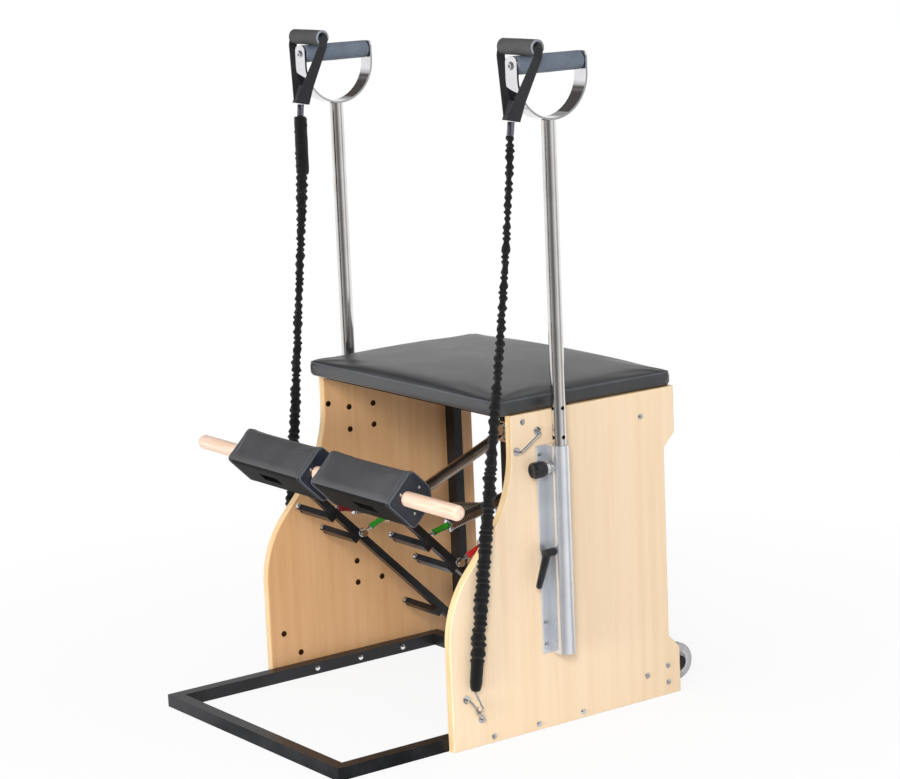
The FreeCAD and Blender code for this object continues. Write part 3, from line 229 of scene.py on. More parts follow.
def metal(name, base, dull, rough, spread, stretch=(1, 1, 1), scratch=900.0, bare=1.0):
    """Bare or plated metal: colour clouded slightly, hair lines along its drawing direction."""
    finish = Finish(name)
    hair = finish.grain(scratch, 3, 0.6, stretch)
    cloud = finish.grain(18, 4, 0.6)
    colour = finish.mix(finish.ramp(cloud * 0.7 + hair * 0.3, (0.35, 0.0), (0.7, 1.0)), dull, base)
    return finish.set(Base_Color=colour, Metallic=bare, Roughness=cloud * spread + (hair * spread + rough),
                      Normal=finish.bump(hair, 0.02, 0.0001)).material


def beech():
    """Turned beech: fine flecks and faint growth lines along the rod."""
    finish = Finish("turned_beech")
    lines = finish.grain(120, 4, 0.6, (0.04, 1, 1), warp=0.4)
    flecks = finish.grain(700, 2, 0.5, (0.06, 1, 1))
    colour = finish.ramp(lines * 0.6 + flecks * 0.4, (0.34, tone(222, 182, 156)), (0.5, tone(238, 206, 184)),
                         (0.66, tone(247, 222, 204)))
    return finish.set(Base_Color=colour, Roughness=lines * 0.2 + 0.38, Coat_Weight=0.1,
                      Normal=finish.bump(flecks, 0.1, 0.0004)).material


def gloss_plastic(name, base, light, rough):
    """Moulded plastic: even colour with faint flow marks and a fine spark-eroded grain."""
    finish = Finish(name)
    flow = finish.grain(30, 3, 0.5)
    spark = finish.grain(1500, 2, 0.5)
    colour = finish.mix(finish.ramp(flow, (0.35, 0.0), (0.7, 1.0)), base, light)
    return finish.set(Base_Color=colour, Roughness=flow * 0.12 + rough,
                      Normal=finish.bump(spark, 0.1, 0.0003)).material


def foam(name, base, light, rough=0.62):
    """Closed-cell foam: skin full of fine pores."""
    finish = Finish(name)
    pores = finish.cells(620)
    cloud = finish.grain(40, 4, 0.6)
    colour = finish.mix(finish.ramp(pores * 0.6 + cloud * 0.5, (0.3, 0.0), (0.8, 1.0)), base, light)
    return finish.set(Base_Color=colour, Roughness=cloud * 0.2 + rough,
                      Normal=finish.bump(pores, 0.3, 0.0006)).material


def woven(name, base, light, scale):
    """Woven tape: two sets of crossing ribs over the cloth's own lengthwise coordinate."""
    finish = Finish(name)
    ribs = finish.node("TexWave", {"bands_direction": "Z"}, {"Vector": finish.place(), "Scale": scale,
                                                             "Distortion": 0.4, "Detail": 1.0}, 1)
    cross = finish.node("TexWave", {"bands_direction": "X"}, {"Vector": finish.place(), "Scale": scale * 0.8,
                                                              "Distortion": 0.4, "Detail": 1.0}, 1)
    fuzz = finish.grain(500, 3, 0.6)
    weave = ribs * cross
    colour = finish.mix(finish.ramp(weave * 0.6 + fuzz * 0.5, (0.25, 0.0), (0.85, 1.0)), base, light)
    return finish.set(Base_Color=colour, Roughness=fuzz * 0.2 + 0.7, Sheen_Weight=0.12, Sheen_Roughness=0.5,
                      Normal=finish.bump(weave + fuzz * 0.3, 0.4, 0.0006)).material


FINISHES = {
    "maple": maple(),
    "black_vinyl": vinyl("seat_vinyl", tone(37, 38, 40), tone(54, 55, 58), 0.26, 1.0),
    "black_board": powder_coat("pad_board_paint", tone(18, 18, 18), tone(32, 31, 30), 0.55, 0.1),
    "black_steel": powder_coat("frame_powder_coat", tone(24, 25, 28), tone(44, 45, 49)),
    "bright_steel": metal("plated_steel", tone(236, 236, 238), tone(218, 218, 221), 0.03, 0.04),
    "pole_steel": metal("polished_tube", tone(238, 236, 235), tone(216, 212, 209), 0.05, 0.05, (1, 1, 0.01)),
    "aluminium": metal("anodised_extrusion", tone(238, 241, 246), tone(222, 226, 233), 0.13, 0.08, (1, 1, 0.01), bare=0.75),
    "beech": beech(),
    "spring_wire": metal("nickel_wire", tone(196, 184, 172), tone(150, 134, 120), 0.14, 0.1),
    "green_hook": gloss_plastic("green_sleeve", tone(34, 128, 26), tone(60, 160, 44), 0.2),
    "red_hook": gloss_plastic("red_sleeve", tone(158, 22, 26), tone(190, 40, 40), 0.2),
    "grey_foam": foam("grip_foam", tone(88, 97, 110), tone(116, 126, 140), 0.42),
    "black_plastic": gloss_plastic("black_moulding", tone(22, 22, 25), tone(40, 40, 44), 0.2),
    "black_webbing": woven("pull_webbing", tone(26, 26, 29), tone(58, 58, 62), 420),
    "cord_fabric": woven("cord_sleeve", tone(9, 9, 10), tone(27, 27, 29), 560),
    "tyre_rubber": foam("tyre_rubber", tone(172, 174, 178), tone(200, 202, 206)),
}
# Painted sheen: the pads' black vinyl is made lighter than the seat's, standing in for the sheen on their tops.
PAINTED_SHEEN_PAD_VINYL = vinyl("pad_vinyl_painted_sheen", tone(60, 60, 62), tone(82, 82, 84), 0.34)
# Painted shade: a darker copy of the pad vinyl for the pads' down-facing faces.
PAINTED_SHADE_UNDER_VINYL = vinyl("pad_under_vinyl_painted_shade", tone(20, 20, 21), tone(32, 32, 34), 0.55, 0.1)
END_VINYL = vinyl("pad_end_vinyl", tone(24, 27, 36), tone(40, 44, 56), 0.24)
PULL_FOAM = foam("pull_foam", tone(60, 60, 61), tone(86, 86, 86))
PULL_RIM = foam("pull_rim", tone(116, 121, 130), tone(146, 151, 160))
SWIVEL = metal("swivel_steel", tone(150, 150, 160), tone(112, 112, 122), 0.16, 0.1)
# Painted highlight: piping vinyl made lighter than the black vinyl it is sewn into, standing in for the highlight along
# the seams.
PAINTED_HIGHLIGHT_PIPING = vinyl("piping_vinyl_painted_highlight", tone(70, 73, 80), tone(100, 103, 110))
INSERT = metal("insert_brass", tone(96, 62, 40), tone(60, 36, 24), 0.35, 0.2)
HUB = gloss_plastic("hub_moulding", tone(192, 194, 198), tone(220, 222, 226), 0.24)

for part in frame["record"]["subparts"]:
    item = frame["nodes"][part["node"]]
    item.data.materials.clear()
    item.data.materials.append(FINISHES[part["material_slot"]])
for name in ("left_wheel_hub", "right_wheel_hub"):
    frame["nodes"][name].data.materials[0] = HUB


# Pieces

def piece(name, mesh, finish, body, soft=True):
    """An object at the origin with its place in its mesh, riding on a body."""
    made = bpy.data.objects.new(name, mesh)
    scene.collection.objects.link(made)
    mesh.materials.clear()
    mesh.materials.append(finish)
    for face in mesh.polygons:
        face.use_smooth = soft
    if body:
        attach(made, body)
    return made


def mesh_from(form, name):
    bmesh.ops.recalc_face_normals(form, faces=form.faces)
    mesh = bpy.data.meshes.new(name)
    form.to_mesh(mesh)
    form.free()
    return mesh


def facing(origin, along, up=(1, 0, 0)):
    """A matrix at a point, its Z along one direction and its X as near as can be to another."""
    z = Vector(along).normalized()
    y = z.cross(Vector(up)).normalized()
    x = y.cross(z)
    turn = Matrix((x, y, z)).transposed()
    return Matrix.Translation(origin) @ turn.to_4x4()


def lathe(profile, place, steps=32):
    """A turned form: points of radius and height joined to a line and spun about Z."""
    form = bmesh.new()
    line = [form.verts.new((radius, 0, height)) for radius, height in profile]
    edges = [form.edges.new(pair) for pair in zip(line, line[1:])]
    bmesh.ops.spin(form, geom=line + edges, cent=(0, 0, 0), axis=(0, 0, 1), angle=math.tau, steps=steps,
                   use_merge=True)
    bmesh.ops.remove_doubles(form, verts=form.verts, dist=1e-6)
    bmesh.ops.transform(form, matrix=place, verts=form.verts)
    return form


def wire_mesh(points, radius, sides=3, closed=False, kind="NURBS"):
    """A round wire on a smooth curve through few points, made a mesh."""
    curve = bpy.data.curves.new("wire", "CURVE")
    curve.dimensions = "3D"
    curve.bevel_depth = radius
    curve.bevel_resolution = sides
    curve.resolution_u = 8
    curve.use_fill_caps = True
    spline = curve.splines.new(kind)
    spline.points.add(len(points) - 1)
    for point, place in zip(spline.points, points):
        point.co = (*place, 1)
    if kind == "NURBS":
        spline.order_u = 3
        spline.use_endpoint_u = not closed
    spline.use_cyclic_u = closed
    holder = bpy.data.objects.new("wire", curve)
    scene.collection.objects.link(holder)
    mesh = bpy.data.meshes.new_from_object(holder)
    bpy.data.objects.remove(holder)
    return mesh


def joined(name, meshes):
    form = bmesh.new()
    for mesh in meshes:
        form.from_mesh(mesh)
    return mesh_from(form, name)


def from_forms(name, *forms):
    meshes = []
    for number, form in enumerate(forms):
        meshes.append(mesh_from(form, "%s_%d" % (name, number)))
    return joined(name, meshes)


def pedal_point(x, up, reach):
    """A point of a pedal's own frame: square to its arm and along it."""
    return Vector((x, PIVOT.y + up * math.cos(TILT) - reach * math.sin(TILT),
                   PIVOT.z + up * math.sin(TILT) + reach * math.cos(TILT)))


# Camera at the photograph's angle

AZIMUTH = math.radians(54.26)
ELEVATION = math.radians(11.01)
ROLL = math.radians(-2.4)
back = Vector((math.sin(AZIMUTH) * math.cos(ELEVATION), -math.cos(AZIMUTH) * math.cos(ELEVATION),
               math.sin(ELEVATION)))
right = Vector((math.cos(AZIMUTH), math.sin(AZIMUTH), 0))
up = back.cross(right)
camera = bpy.data.objects.new("camera", bpy.data.cameras.new("camera"))
scene.collection.objects.link(camera)
camera.data.sensor_fit = "HORIZONTAL"
camera.data.sensor_width = 36
camera.data.lens = 106.775
axes = Matrix((right * math.cos(ROLL) + up * math.sin(ROLL), up * math.cos(ROLL) - right * math.sin(ROLL), back))
camera.matrix_world = Matrix.Translation((4.21067, -2.95396, 1.62286)) @ axes.transposed().to_4x4()
scene.camera = camera


# Elastic cords

CORD_LOW = Vector((0.339, -0.131, 0.172))
PULL = Vector((0.35, 0.013, 1.3028))
PULL_LEAN = math.radians(11.5)
WEB_DROP = 0.134
pull_down = Vector((0, -math.sin(PULL_LEAN), -math.cos(PULL_LEAN)))


def mirrored(point, side):
    return Vector((point[0] * side, point[1], point[2]))


def cord_line(side):
    """The swivel's top, the cord's top, its low end and its direction."""
    neck = mirrored(PULL + pull_down * (WEB_DROP + 0.0023), side)
    low = mirrored(CORD_LOW, side)
    down = (low - neck).normalized()
    return neck, neck + down * 0.025, low, down


def route_points(points):
    """Points along the smooth curve that the route's points control."""
    curve = bpy.data.curves.new("route", "CURVE")
    curve.dimensions = "3D"
    curve.resolution_u = 160
    spline = curve.splines.new("NURBS")
    spline.points.add(len(points) - 1)
    for point, place in zip(spline.points, points):
        point.co = (*place, 1)
    spline.order_u = 3
    spline.use_endpoint_u = True
    holder = bpy.data.objects.new("route", curve)
    scene.collection.objects.link(holder)
    line = bpy.data.meshes.new_from_object(holder)
    bpy.data.objects.remove(holder)
    return [vertex.co.copy() for vertex in line.vertices]


def between(stations, share):
    """The value at a share of a length, on straight lines between its stations."""
    for (start, first), (stop, second) in zip(stations, stations[1:]):
        if share <= stop:
            return first + (second - first) * (share - start) / (stop - start)
    return stations[-1][1]


def gathered(points, radius, depth, pitch, seed, stations):
    """Fabric sleeve gathered over elastic: rings along the line, ruffled out of round."""
    form = bmesh.new()
    down = (points[-1] - points[0]).normalized()
    place = facing(points[0], down)
    circle = bmesh.ops.create_circle(form, cap_ends=True, segments=18, radius=radius, matrix=place)
    ring = [edge for edge in form.edges]
    bottom = circle["verts"]
    rings = [list(bottom)]
    for start, stop in zip(points, points[1:]):
        out = bmesh.ops.extrude_edge_only(form, edges=ring)
        fresh = [item for item in out["geom"] if isinstance(item, bmesh.types.BMVert)]
        bmesh.ops.translate(form, vec=stop - start, verts=fresh)
        ring = [item for item in out["geom"] if isinstance(item, bmesh.types.BMEdge)
                and item.verts[0] in fresh and item.verts[1] in fresh]
        rings.append(fresh)
    bmesh.ops.holes_fill(form, edges=ring, sides=0)
    whole = (points[-1] - points[0]).length
    for loop, point in zip(rings, points):
        run = (point - points[0]).length
        drift = noise.noise(Vector((seed, 0.3, run / pitch * 0.6)))
        swell = noise.noise(Vector((seed, 4.1, run / pitch * 0.32)))
        fold = math.sin(run / pitch * math.tau + 4.5 * drift)
        full = radius * between(stations, run / whole)
        for vertex in loop:
            direction = (vertex.co - point).normalized()
            ruffle = noise.noise(direction * 0.9 + Vector((seed, 0, run / pitch * 0.9)))
            crimp = noise.noise(direction * 2.6 + Vector((0, seed, run / pitch * 2.1)))
            grow = depth * (0.6 * fold + 1.0 * ruffle + 0.45 * crimp + 0.5 * swell)
            vertex.co = point + direction * (full + grow)
    return mesh_from(form, "gathered_sleeve")


# How far each cord hangs behind the straight line, and how full its sleeve is, by share of its length
CORD_SLACK = {"left": ((0.12, 0.012), (0.36, 0.014), (0.64, 0.016), (0.88, 0.016)),
              "right": ((0.12, 0.006), (0.36, 0.007), (0.64, 0.003), (0.88, 0))}
CORD_SWELL = {"left": ((0, 1.1), (0.13, 1.05), (0.3, 0.66), (0.42, 0.66), (0.6, 0.95), (1, 1)),
              "right": ((0, 0.58), (0.34, 0.6), (0.7, 1.12), (1, 1.16))}

for name, side in SIDES.items():
    neck, top, low, down = cord_line(side)
    middle = [top.lerp(low, share) + Vector((0, back_set, 0)) for share, back_set in CORD_SLACK[name]]
    line = route_points([top] + middle + [low])
    sleeve = piece(name + "_gathered_cord", gathered(line, 0.0106, 0.0026, 0.0135, 3.7 * side, CORD_SWELL[name]),
                   FINISHES["cord_fabric"], None)
    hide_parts(name + "_cord")
    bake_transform(sleeve)
    cuff_profile = [(0.0062, -0.002), (0.0112, -0.001), (0.0122, 0.004), (0.0117, 0.012), (0.0121, 0.02),
                    (0.0116, 0.03), (0.0119, 0.038), (0.0108, 0.048), (0.0088, 0.055), (0.0034, 0.058)]
    cuff = piece(name + "_gathered_cuff", from_forms(name + "_cuff", lathe(cuff_profile, facing(low, down))),
                 FINISHES["cord_fabric"], "chassis")
    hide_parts(name + "_cord_cuff")
    if name == "left":
        wrap = [(0.006, -0.001), (0.0106, 0), (0.0126, 0.004), (0.0131, 0.012), (0.0127, 0.03), (0.0132, 0.05),
                (0.0128, 0.075), (0.0133, 0.1), (0.0129, 0.112), (0.0112, 0.117), (0.007, 0.118)]
        piece("left_cord_wrap", from_forms("wrap", lathe(wrap, facing(top, middle[0] - top), 24)), FINISHES["cord_fabric"],
              "left_pole")


# Seat and pedal pads

def blown(form, name, voxel, pressure, cap, held):
    """Padded fabric: a closed form remeshed, blown up as cloth, its travel capped, with held points pinned."""
    mesh = mesh_from(form, name)
    made = bpy.data.objects.new(name, mesh)
    scene.collection.objects.link(made)
    remesh = made.modifiers.new("even", "REMESH")
    remesh.mode = "VOXEL"
    remesh.voxel_size = voxel
    rest = bpy.data.meshes.new_from_object(made.evaluated_get(bpy.context.evaluated_depsgraph_get()))
    made.modifiers.clear()
    made.data = rest
    start = [vertex.co.copy() for vertex in rest.vertices]
    pinned = made.vertex_groups.new(name="pinned")
    pinned.add([number for number, point in enumerate(start) if held(point)], 1.0, "ADD")
    cloth = made.modifiers.new("cloth", "CLOTH")
    cloth.settings.quality = 6
    cloth.settings.mass = 0.3
    cloth.settings.tension_stiffness = 25
    cloth.settings.compression_stiffness = 25
    cloth.settings.shear_stiffness = 12
    cloth.settings.bending_stiffness = 2
    cloth.settings.use_pressure = True
    cloth.settings.uniform_pressure_force = pressure
    cloth.settings.effector_weights.gravity = 0
    cloth.settings.vertex_group_mass = "pinned"
    for number in range(1, 21):
        scene.frame_set(number)
    swollen = bpy.data.meshes.new_from_object(made.evaluated_get(bpy.context.evaluated_depsgraph_get()))
    for vertex, first in zip(swollen.vertices, start):
        travel = vertex.co - first
        if travel.length > cap:
            vertex.co = first + travel.normalized() * cap
    scene.frame_set(1)
    bpy.data.objects.remove(made)
    return swollen


def finer(mesh, name, rounds=1):
    """The mesh smoothed and divided once."""
    made = bpy.data.objects.new(name, mesh)
    scene.collection.objects.link(made)
    smooth = made.modifiers.new("smooth", "SMOOTH")
    smooth.factor = 0.5
    smooth.iterations = 2
    divide = made.modifiers.new("divide", "SUBSURF")
    divide.levels = rounds
    divide.render_levels = rounds
    fine = bpy.data.meshes.new_from_object(made.evaluated_get(bpy.context.evaluated_depsgraph_get()))
    bpy.data.objects.remove(made)
    return fine


def hollowed(mesh, name, tools):
    """The mesh with the tools' room cut out of it."""
    made = bpy.data.objects.new(name, mesh)
    scene.collection.objects.link(made)
    holders = []
    for number, tool in enumerate(tools):
        holder = bpy.data.objects.new("%s_tool_%d" % (name, number), mesh_from(tool, "tool"))
        scene.collection.objects.link(holder)
        holders.append(holder)
        cut = made.modifiers.new("cut_%d" % number, "BOOLEAN")
        cut.operation = "DIFFERENCE"
        cut.solver = "EXACT"
        cut.object = holder
    open_mesh = bpy.data.meshes.new_from_object(made.evaluated_get(bpy.context.evaluated_depsgraph_get()))
    for item in holders + [made]:
        bpy.data.objects.remove(item)
    return open_mesh


def boxed(low, high, place=Matrix()):
    form = bmesh.new()
    size = Vector(high) - Vector(low)
    middle = (Vector(high) + Vector(low)) / 2
    bmesh.ops.create_cube(form, size=1, matrix=place @ Matrix.Translation(middle) @ Matrix.Diagonal((*size, 1)))
    return form


def drawn_in(node, distance):
    """A copy of a solid's mesh, merged and drawn in along its normals."""
    form = bmesh.new()
    form.from_mesh(frame["nodes"][node].data)
    bmesh.ops.remove_doubles(form, verts=form.verts, dist=1e-5)
    form.normal_update()
    for vertex in form.verts:
        vertex.co -= vertex.normal * distance
    return form


def seam(mesh, point, way, radius):
    """A thin cord sewn round a form where a plane crosses it."""
    form = bmesh.new()
    form.from_mesh(mesh)
    cut = bmesh.ops.bisect_plane(form, geom=form.verts[:] + form.edges[:] + form.faces[:], plane_co=point,
                                 plane_no=way)
    spots = [item.co.copy() for item in cut["geom_cut"] if isinstance(item, bmesh.types.BMVert)]
    form.free()
    middle = sum(spots, Vector()) / len(spots)
    across = Vector(way).orthogonal().normalized()
    along = Vector(way).cross(across)
    spots.sort(key=lambda spot: math.atan2((spot - middle).dot(along), (spot - middle).dot(across)))
    line = spots[:1]
    for spot in spots[1:]:
        if (spot - line[-1]).length > 0.003:
            line.append(spot)
    return wire_mesh(line, radius, 2, closed=True)


seat_low, seat_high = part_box("seat_cushion")
seat = blown(drawn_in("seat_cushion", -0.002), "seat_form", 0.0052, 4.0, 0.0025,
             lambda point: point.z < seat_low.z + 0.008)
seat = finer(seat, "seat_fine")
for vertex in seat.vertices:
    vertex.co.z = max(vertex.co.z, seat_low.z)
# The seat's welt takes the piping vinyl with its painted highlight.
piece("seat_welt", seam(seat, (0, 0, seat_low.z + 0.0265), (0, 0, 1), 0.0017), PAINTED_HIGHLIGHT_PIPING, "chassis")
seat_piece = piece("seat_upholstery", seat, FINISHES["black_vinyl"], "chassis")
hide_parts("seat_cushion")


def pad_outline(x, grow):
    """The pad's section at one place: small rounds at the front and underside, a broad one at the back."""
    low, high = -0.034 - grow, 0.048 + grow
    near, far = DOWEL_REACH - 0.052 - grow, DOWEL_REACH + 0.029 + grow
    corners = [((low, near), 0.005, 3), ((low, far), 0.005, 3), ((high, far), 0.01, 5), ((high, near), 0.034, 10)]
    points = []
    centre = Vector(((low + high) / 2, (near + far) / 2))
    for number, (corner, radius, steps) in enumerate(corners):
        corner = Vector(corner)
        into = Vector((math.copysign(1, centre.x - corner.x), math.copysign(1, centre.y - corner.y)))
        hub = corner + into * radius
        first = 270 - 90 * number
        for step in range(steps + 1):
            angle = math.radians(first - 90 * step / steps)
            spot = hub + Vector((math.cos(angle), math.sin(angle))) * radius
            points.append(pedal_point(x, spot.x, spot.y))
    return points


for name, side in SIDES.items():
    middle = 0.15 * side
    half = 0.1325
    form = bmesh.new()
    rim = [form.verts.new(point) for point in pad_outline(middle - half, -0.0004)]
    face = form.faces.new(rim)
    out = bmesh.ops.extrude_face_region(form, geom=[face])
    fresh = [item for item in out["geom"] if isinstance(item, bmesh.types.BMVert)]
    bmesh.ops.translate(form, vec=(half * 2, 0, 0), verts=fresh)
    flat = [math.cos(TILT), math.sin(TILT)]

    def underside(point):
        up_from = (point.y - PIVOT.y) * flat[0] + (point.z - PIVOT.z) * flat[1]
        return up_from < -0.029

    pad = blown(form, name + "_pad_form", 0.004, 4.0, 0.003, underside)
    pad = finer(pad, name + "_pad_fine")
    for number, (station, radius) in enumerate(((half - 0.003, 0.0014), (half - 0.012, 0.0008))):
        for end in (-1, 1):
            label = "%s_pad_piping_%d_%s" % (name, number, "out" if end == side else "in")
            piece(label, seam(pad, (middle + station * end, 0, 0), (1, 0, 0), radius), PAINTED_HIGHLIGHT_PIPING, name + "_pedal")
    bore = bmesh.new()
    bmesh.ops.create_cone(bore, cap_ends=True, segments=48, radius1=0.0152, radius2=0.0152, depth=0.3,
                          matrix=facing(pedal_point(middle, 0, DOWEL_REACH), (1, 0, 0), (0, 0, 1)))
    frame_place = Matrix.Translation((0, PIVOT.y, PIVOT.z)) @ Matrix.Rotation(TILT, 4, "X")
    near = DOWEL_REACH - 0.052 + 0.008
    far = DOWEL_REACH + 0.029 - 0.008
    recess = boxed((middle - half + 0.008, -0.06, near), (middle + half - 0.008, -0.0147, far), frame_place)
    arm = ARM_X * side
    room = boxed((arm - 0.0103, -0.0078, 0.3), (arm + 0.0103, 0.0078, 0.6183), frame_place)
    pad = hollowed(pad, name + "_pad_open", [bore, recess, room])
    # The pads' cover takes the lighter vinyl with its painted sheen.
    cover = piece(name + "_pedal_upholstery", pad, PAINTED_SHEEN_PAD_VINYL, name + "_pedal")
    cover.data.materials.append(END_VINYL)
    cover.data.materials.append(PAINTED_SHADE_UNDER_VINYL)
    # End faces take the end vinyl; faces pointing down from the pad take the darker vinyl as painted shade.
    for polygon in cover.data.polygons:
        if abs(polygon.normal.x) > 0.8 and abs(abs(polygon.center.x - middle) - half) < 0.008:
            polygon.material_index = 1
        elif polygon.normal.y * flat[0] + polygon.normal.z * flat[1] < -0.7:
            polygon.material_index = 2
    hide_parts(name + "_pedal_cushion")
    studs = []
    for end in (-1, 1):
        for lift, ahead in ((0.031, -0.006), (-0.004, 0.0195), (-0.012, -0.03)):
            at = pedal_point(middle + (half + 0.0012) * end, lift, DOWEL_REACH + ahead)
            studs.append(lathe([(0, 0.0016), (0.0016, 0.0013), (0.003, 0)], facing(at, (end, 0, 0), (0, 0, 1)), 16))
    piece(name + "_pad_screws", from_forms(name + "_pad_screws", *studs), FINISHES["bright_steel"], name + "_pedal")
    reach_way = pedal_point(0, 0, 1) - pedal_point(0, 0, 0)
    bits = []
    for reach in (0.463, 0.387, 0.112):
        tip = ARM_X * side - 0.0985
        for start, stop, radius in ((-0.013, -0.009, 0.0055), (-0.003, 0.003, 0.003), (0.009, 0.013, 0.0055)):
            at = pedal_point(tip, -0.0135, reach + start)
            bits.append(lathe([(0, 0), (radius, 0), (radius, stop - start), (0, stop - start)],
                              facing(at, reach_way), 20))
    piece(name + "_peg_bolts", from_forms(name + "_peg_bolts", *bits), FINISHES["bright_steel"], name + "_pedal")


# Springs with their hooks

SPRINGS = [("left", "lower", 0.387, 1, 0.465), ("left", "upper", 0.463, -1, 0.3),
           ("right", "lower", 0.387, 1, 0.465), ("right", "upper", 0.463, -1, 0.465)]


def close_coil(place, length, radius, wire, turns):
    """A close-wound coil: a round section screwed along its axis, drawn in at the ends."""
    form = bmesh.new()
    section = Matrix.Translation((radius, 0, 0)) @ Matrix.Rotation(math.pi / 2, 4, "X")
    bmesh.ops.create_circle(form, segments=8, radius=wire, matrix=section)
    mesh = bpy.data.meshes.new("coil")
    form.to_mesh(mesh)
    form.free()
    made = bpy.data.objects.new("coil", mesh)
    scene.collection.objects.link(made)
    screw = made.modifiers.new("wind", "SCREW")
    screw.axis = "Z"
    screw.angle = math.tau
    screw.screw_offset = length / turns
    screw.iterations = turns
    screw.steps = 14
    screw.render_steps = 14
    screw.use_merge_vertices = False
    wound = bpy.data.meshes.new_from_object(made.evaluated_get(bpy.context.evaluated_depsgraph_get()))
    bpy.data.objects.remove(made)
    wound.transform(place)
    return wound


for name, rank, reach, face, row in SPRINGS:
    side = SIDES[name]
    label = "%s_%s" % (name, rank)
    x = ARM_X * side + 0.018 * face
    stud = pedal_point(x, STUD_LIFT, reach)
    eye = Vector((x, 0.312, row))
    along = (eye - stud).normalized()
    base = facing(stud, along)
    span = (eye - stud).length
    coil_start, coil_end = 0.062, span - 0.03
    turns = int((coil_end - coil_start) / 0.0042)
    coil = close_coil(base @ Matrix.Translation((0, 0, coil_start)), coil_end - coil_start, 0.0104, 0.0019, turns)
    cap = from_forms(label + "_end", lathe([(0, coil_end - 0.003), (0.0122, coil_end - 0.003), (0.0122, coil_end + 0.003),
                                            (0.009, coil_end + 0.006), (0.004, coil_end + 0.008), (0, coil_end + 0.008)],
                                           base))
    loop_hub = span - 0.0045
    loop = [base @ Vector((0, 0, coil_end + 0.006)), base @ Vector((0, 0, coil_end + 0.012)),
            base @ Vector((0.007, 0, coil_end + 0.013)), base @ Vector((0.0085, 0, loop_hub + 0.003)),
            base @ Vector((0.004, 0, loop_hub + 0.0085)), base @ Vector((-0.001, 0, loop_hub + 0.0065))]
    wound = piece(label + "_close_coil", joined(label, [coil, cap, wire_mesh(loop, 0.0018, 3)]),
                  FINISHES["spring_wire"], None)
    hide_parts(label + "_spring")
    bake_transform(wound)
    ring_at = 0.0076 - 0.002 - 0.0035 - 0.0004
    hoop = []
    for step in range(11):
        angle = math.radians(30 * step)
        hoop.append(base @ Vector((0, 0.008 * math.sin(angle), ring_at + 0.008 * math.cos(angle))))
    shank = lathe([(0, ring_at + 0.006), (0.002, ring_at + 0.006), (0.002, 0.06), (0, 0.06)], base, 16)
    collar = lathe([(0, 0.0185), (0.0036, 0.0185), (0.0052, 0.0195), (0.0052, 0.0225), (0, 0.0225)], base, 24)
    foot = lathe([(0, 0.0575), (0.0105, 0.0575), (0.0136, 0.059), (0.0136, 0.061), (0.0128, 0.062), (0, 0.062)],
                 base, 32)
    hook = piece(label + "_hook_wire", joined(label + "_hook", [wire_mesh(hoop, 0.002, 3), from_forms(
        label + "_turned", shank, collar, foot)]), FINISHES["bright_steel"], label + "_hook")
    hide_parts(label + "_snap_hook")
    colour = "green_hook" if label in ("left_lower", "right_upper") else "red_hook"
    sleeve = lathe([(0.0024, 0.0225), (0.006, 0.0225), (0.0069, 0.0245), (0.0062, 0.03), (0.0058, 0.04),
                    (0.0064, 0.05), (0.007, 0.0555), (0.0062, 0.0575), (0.0024, 0.0575)], base, 28)
    piece(label + "_hook_sleeve", from_forms(label + "_sleeve", sleeve), FINISHES[colour], label + "_hook")


# Handles

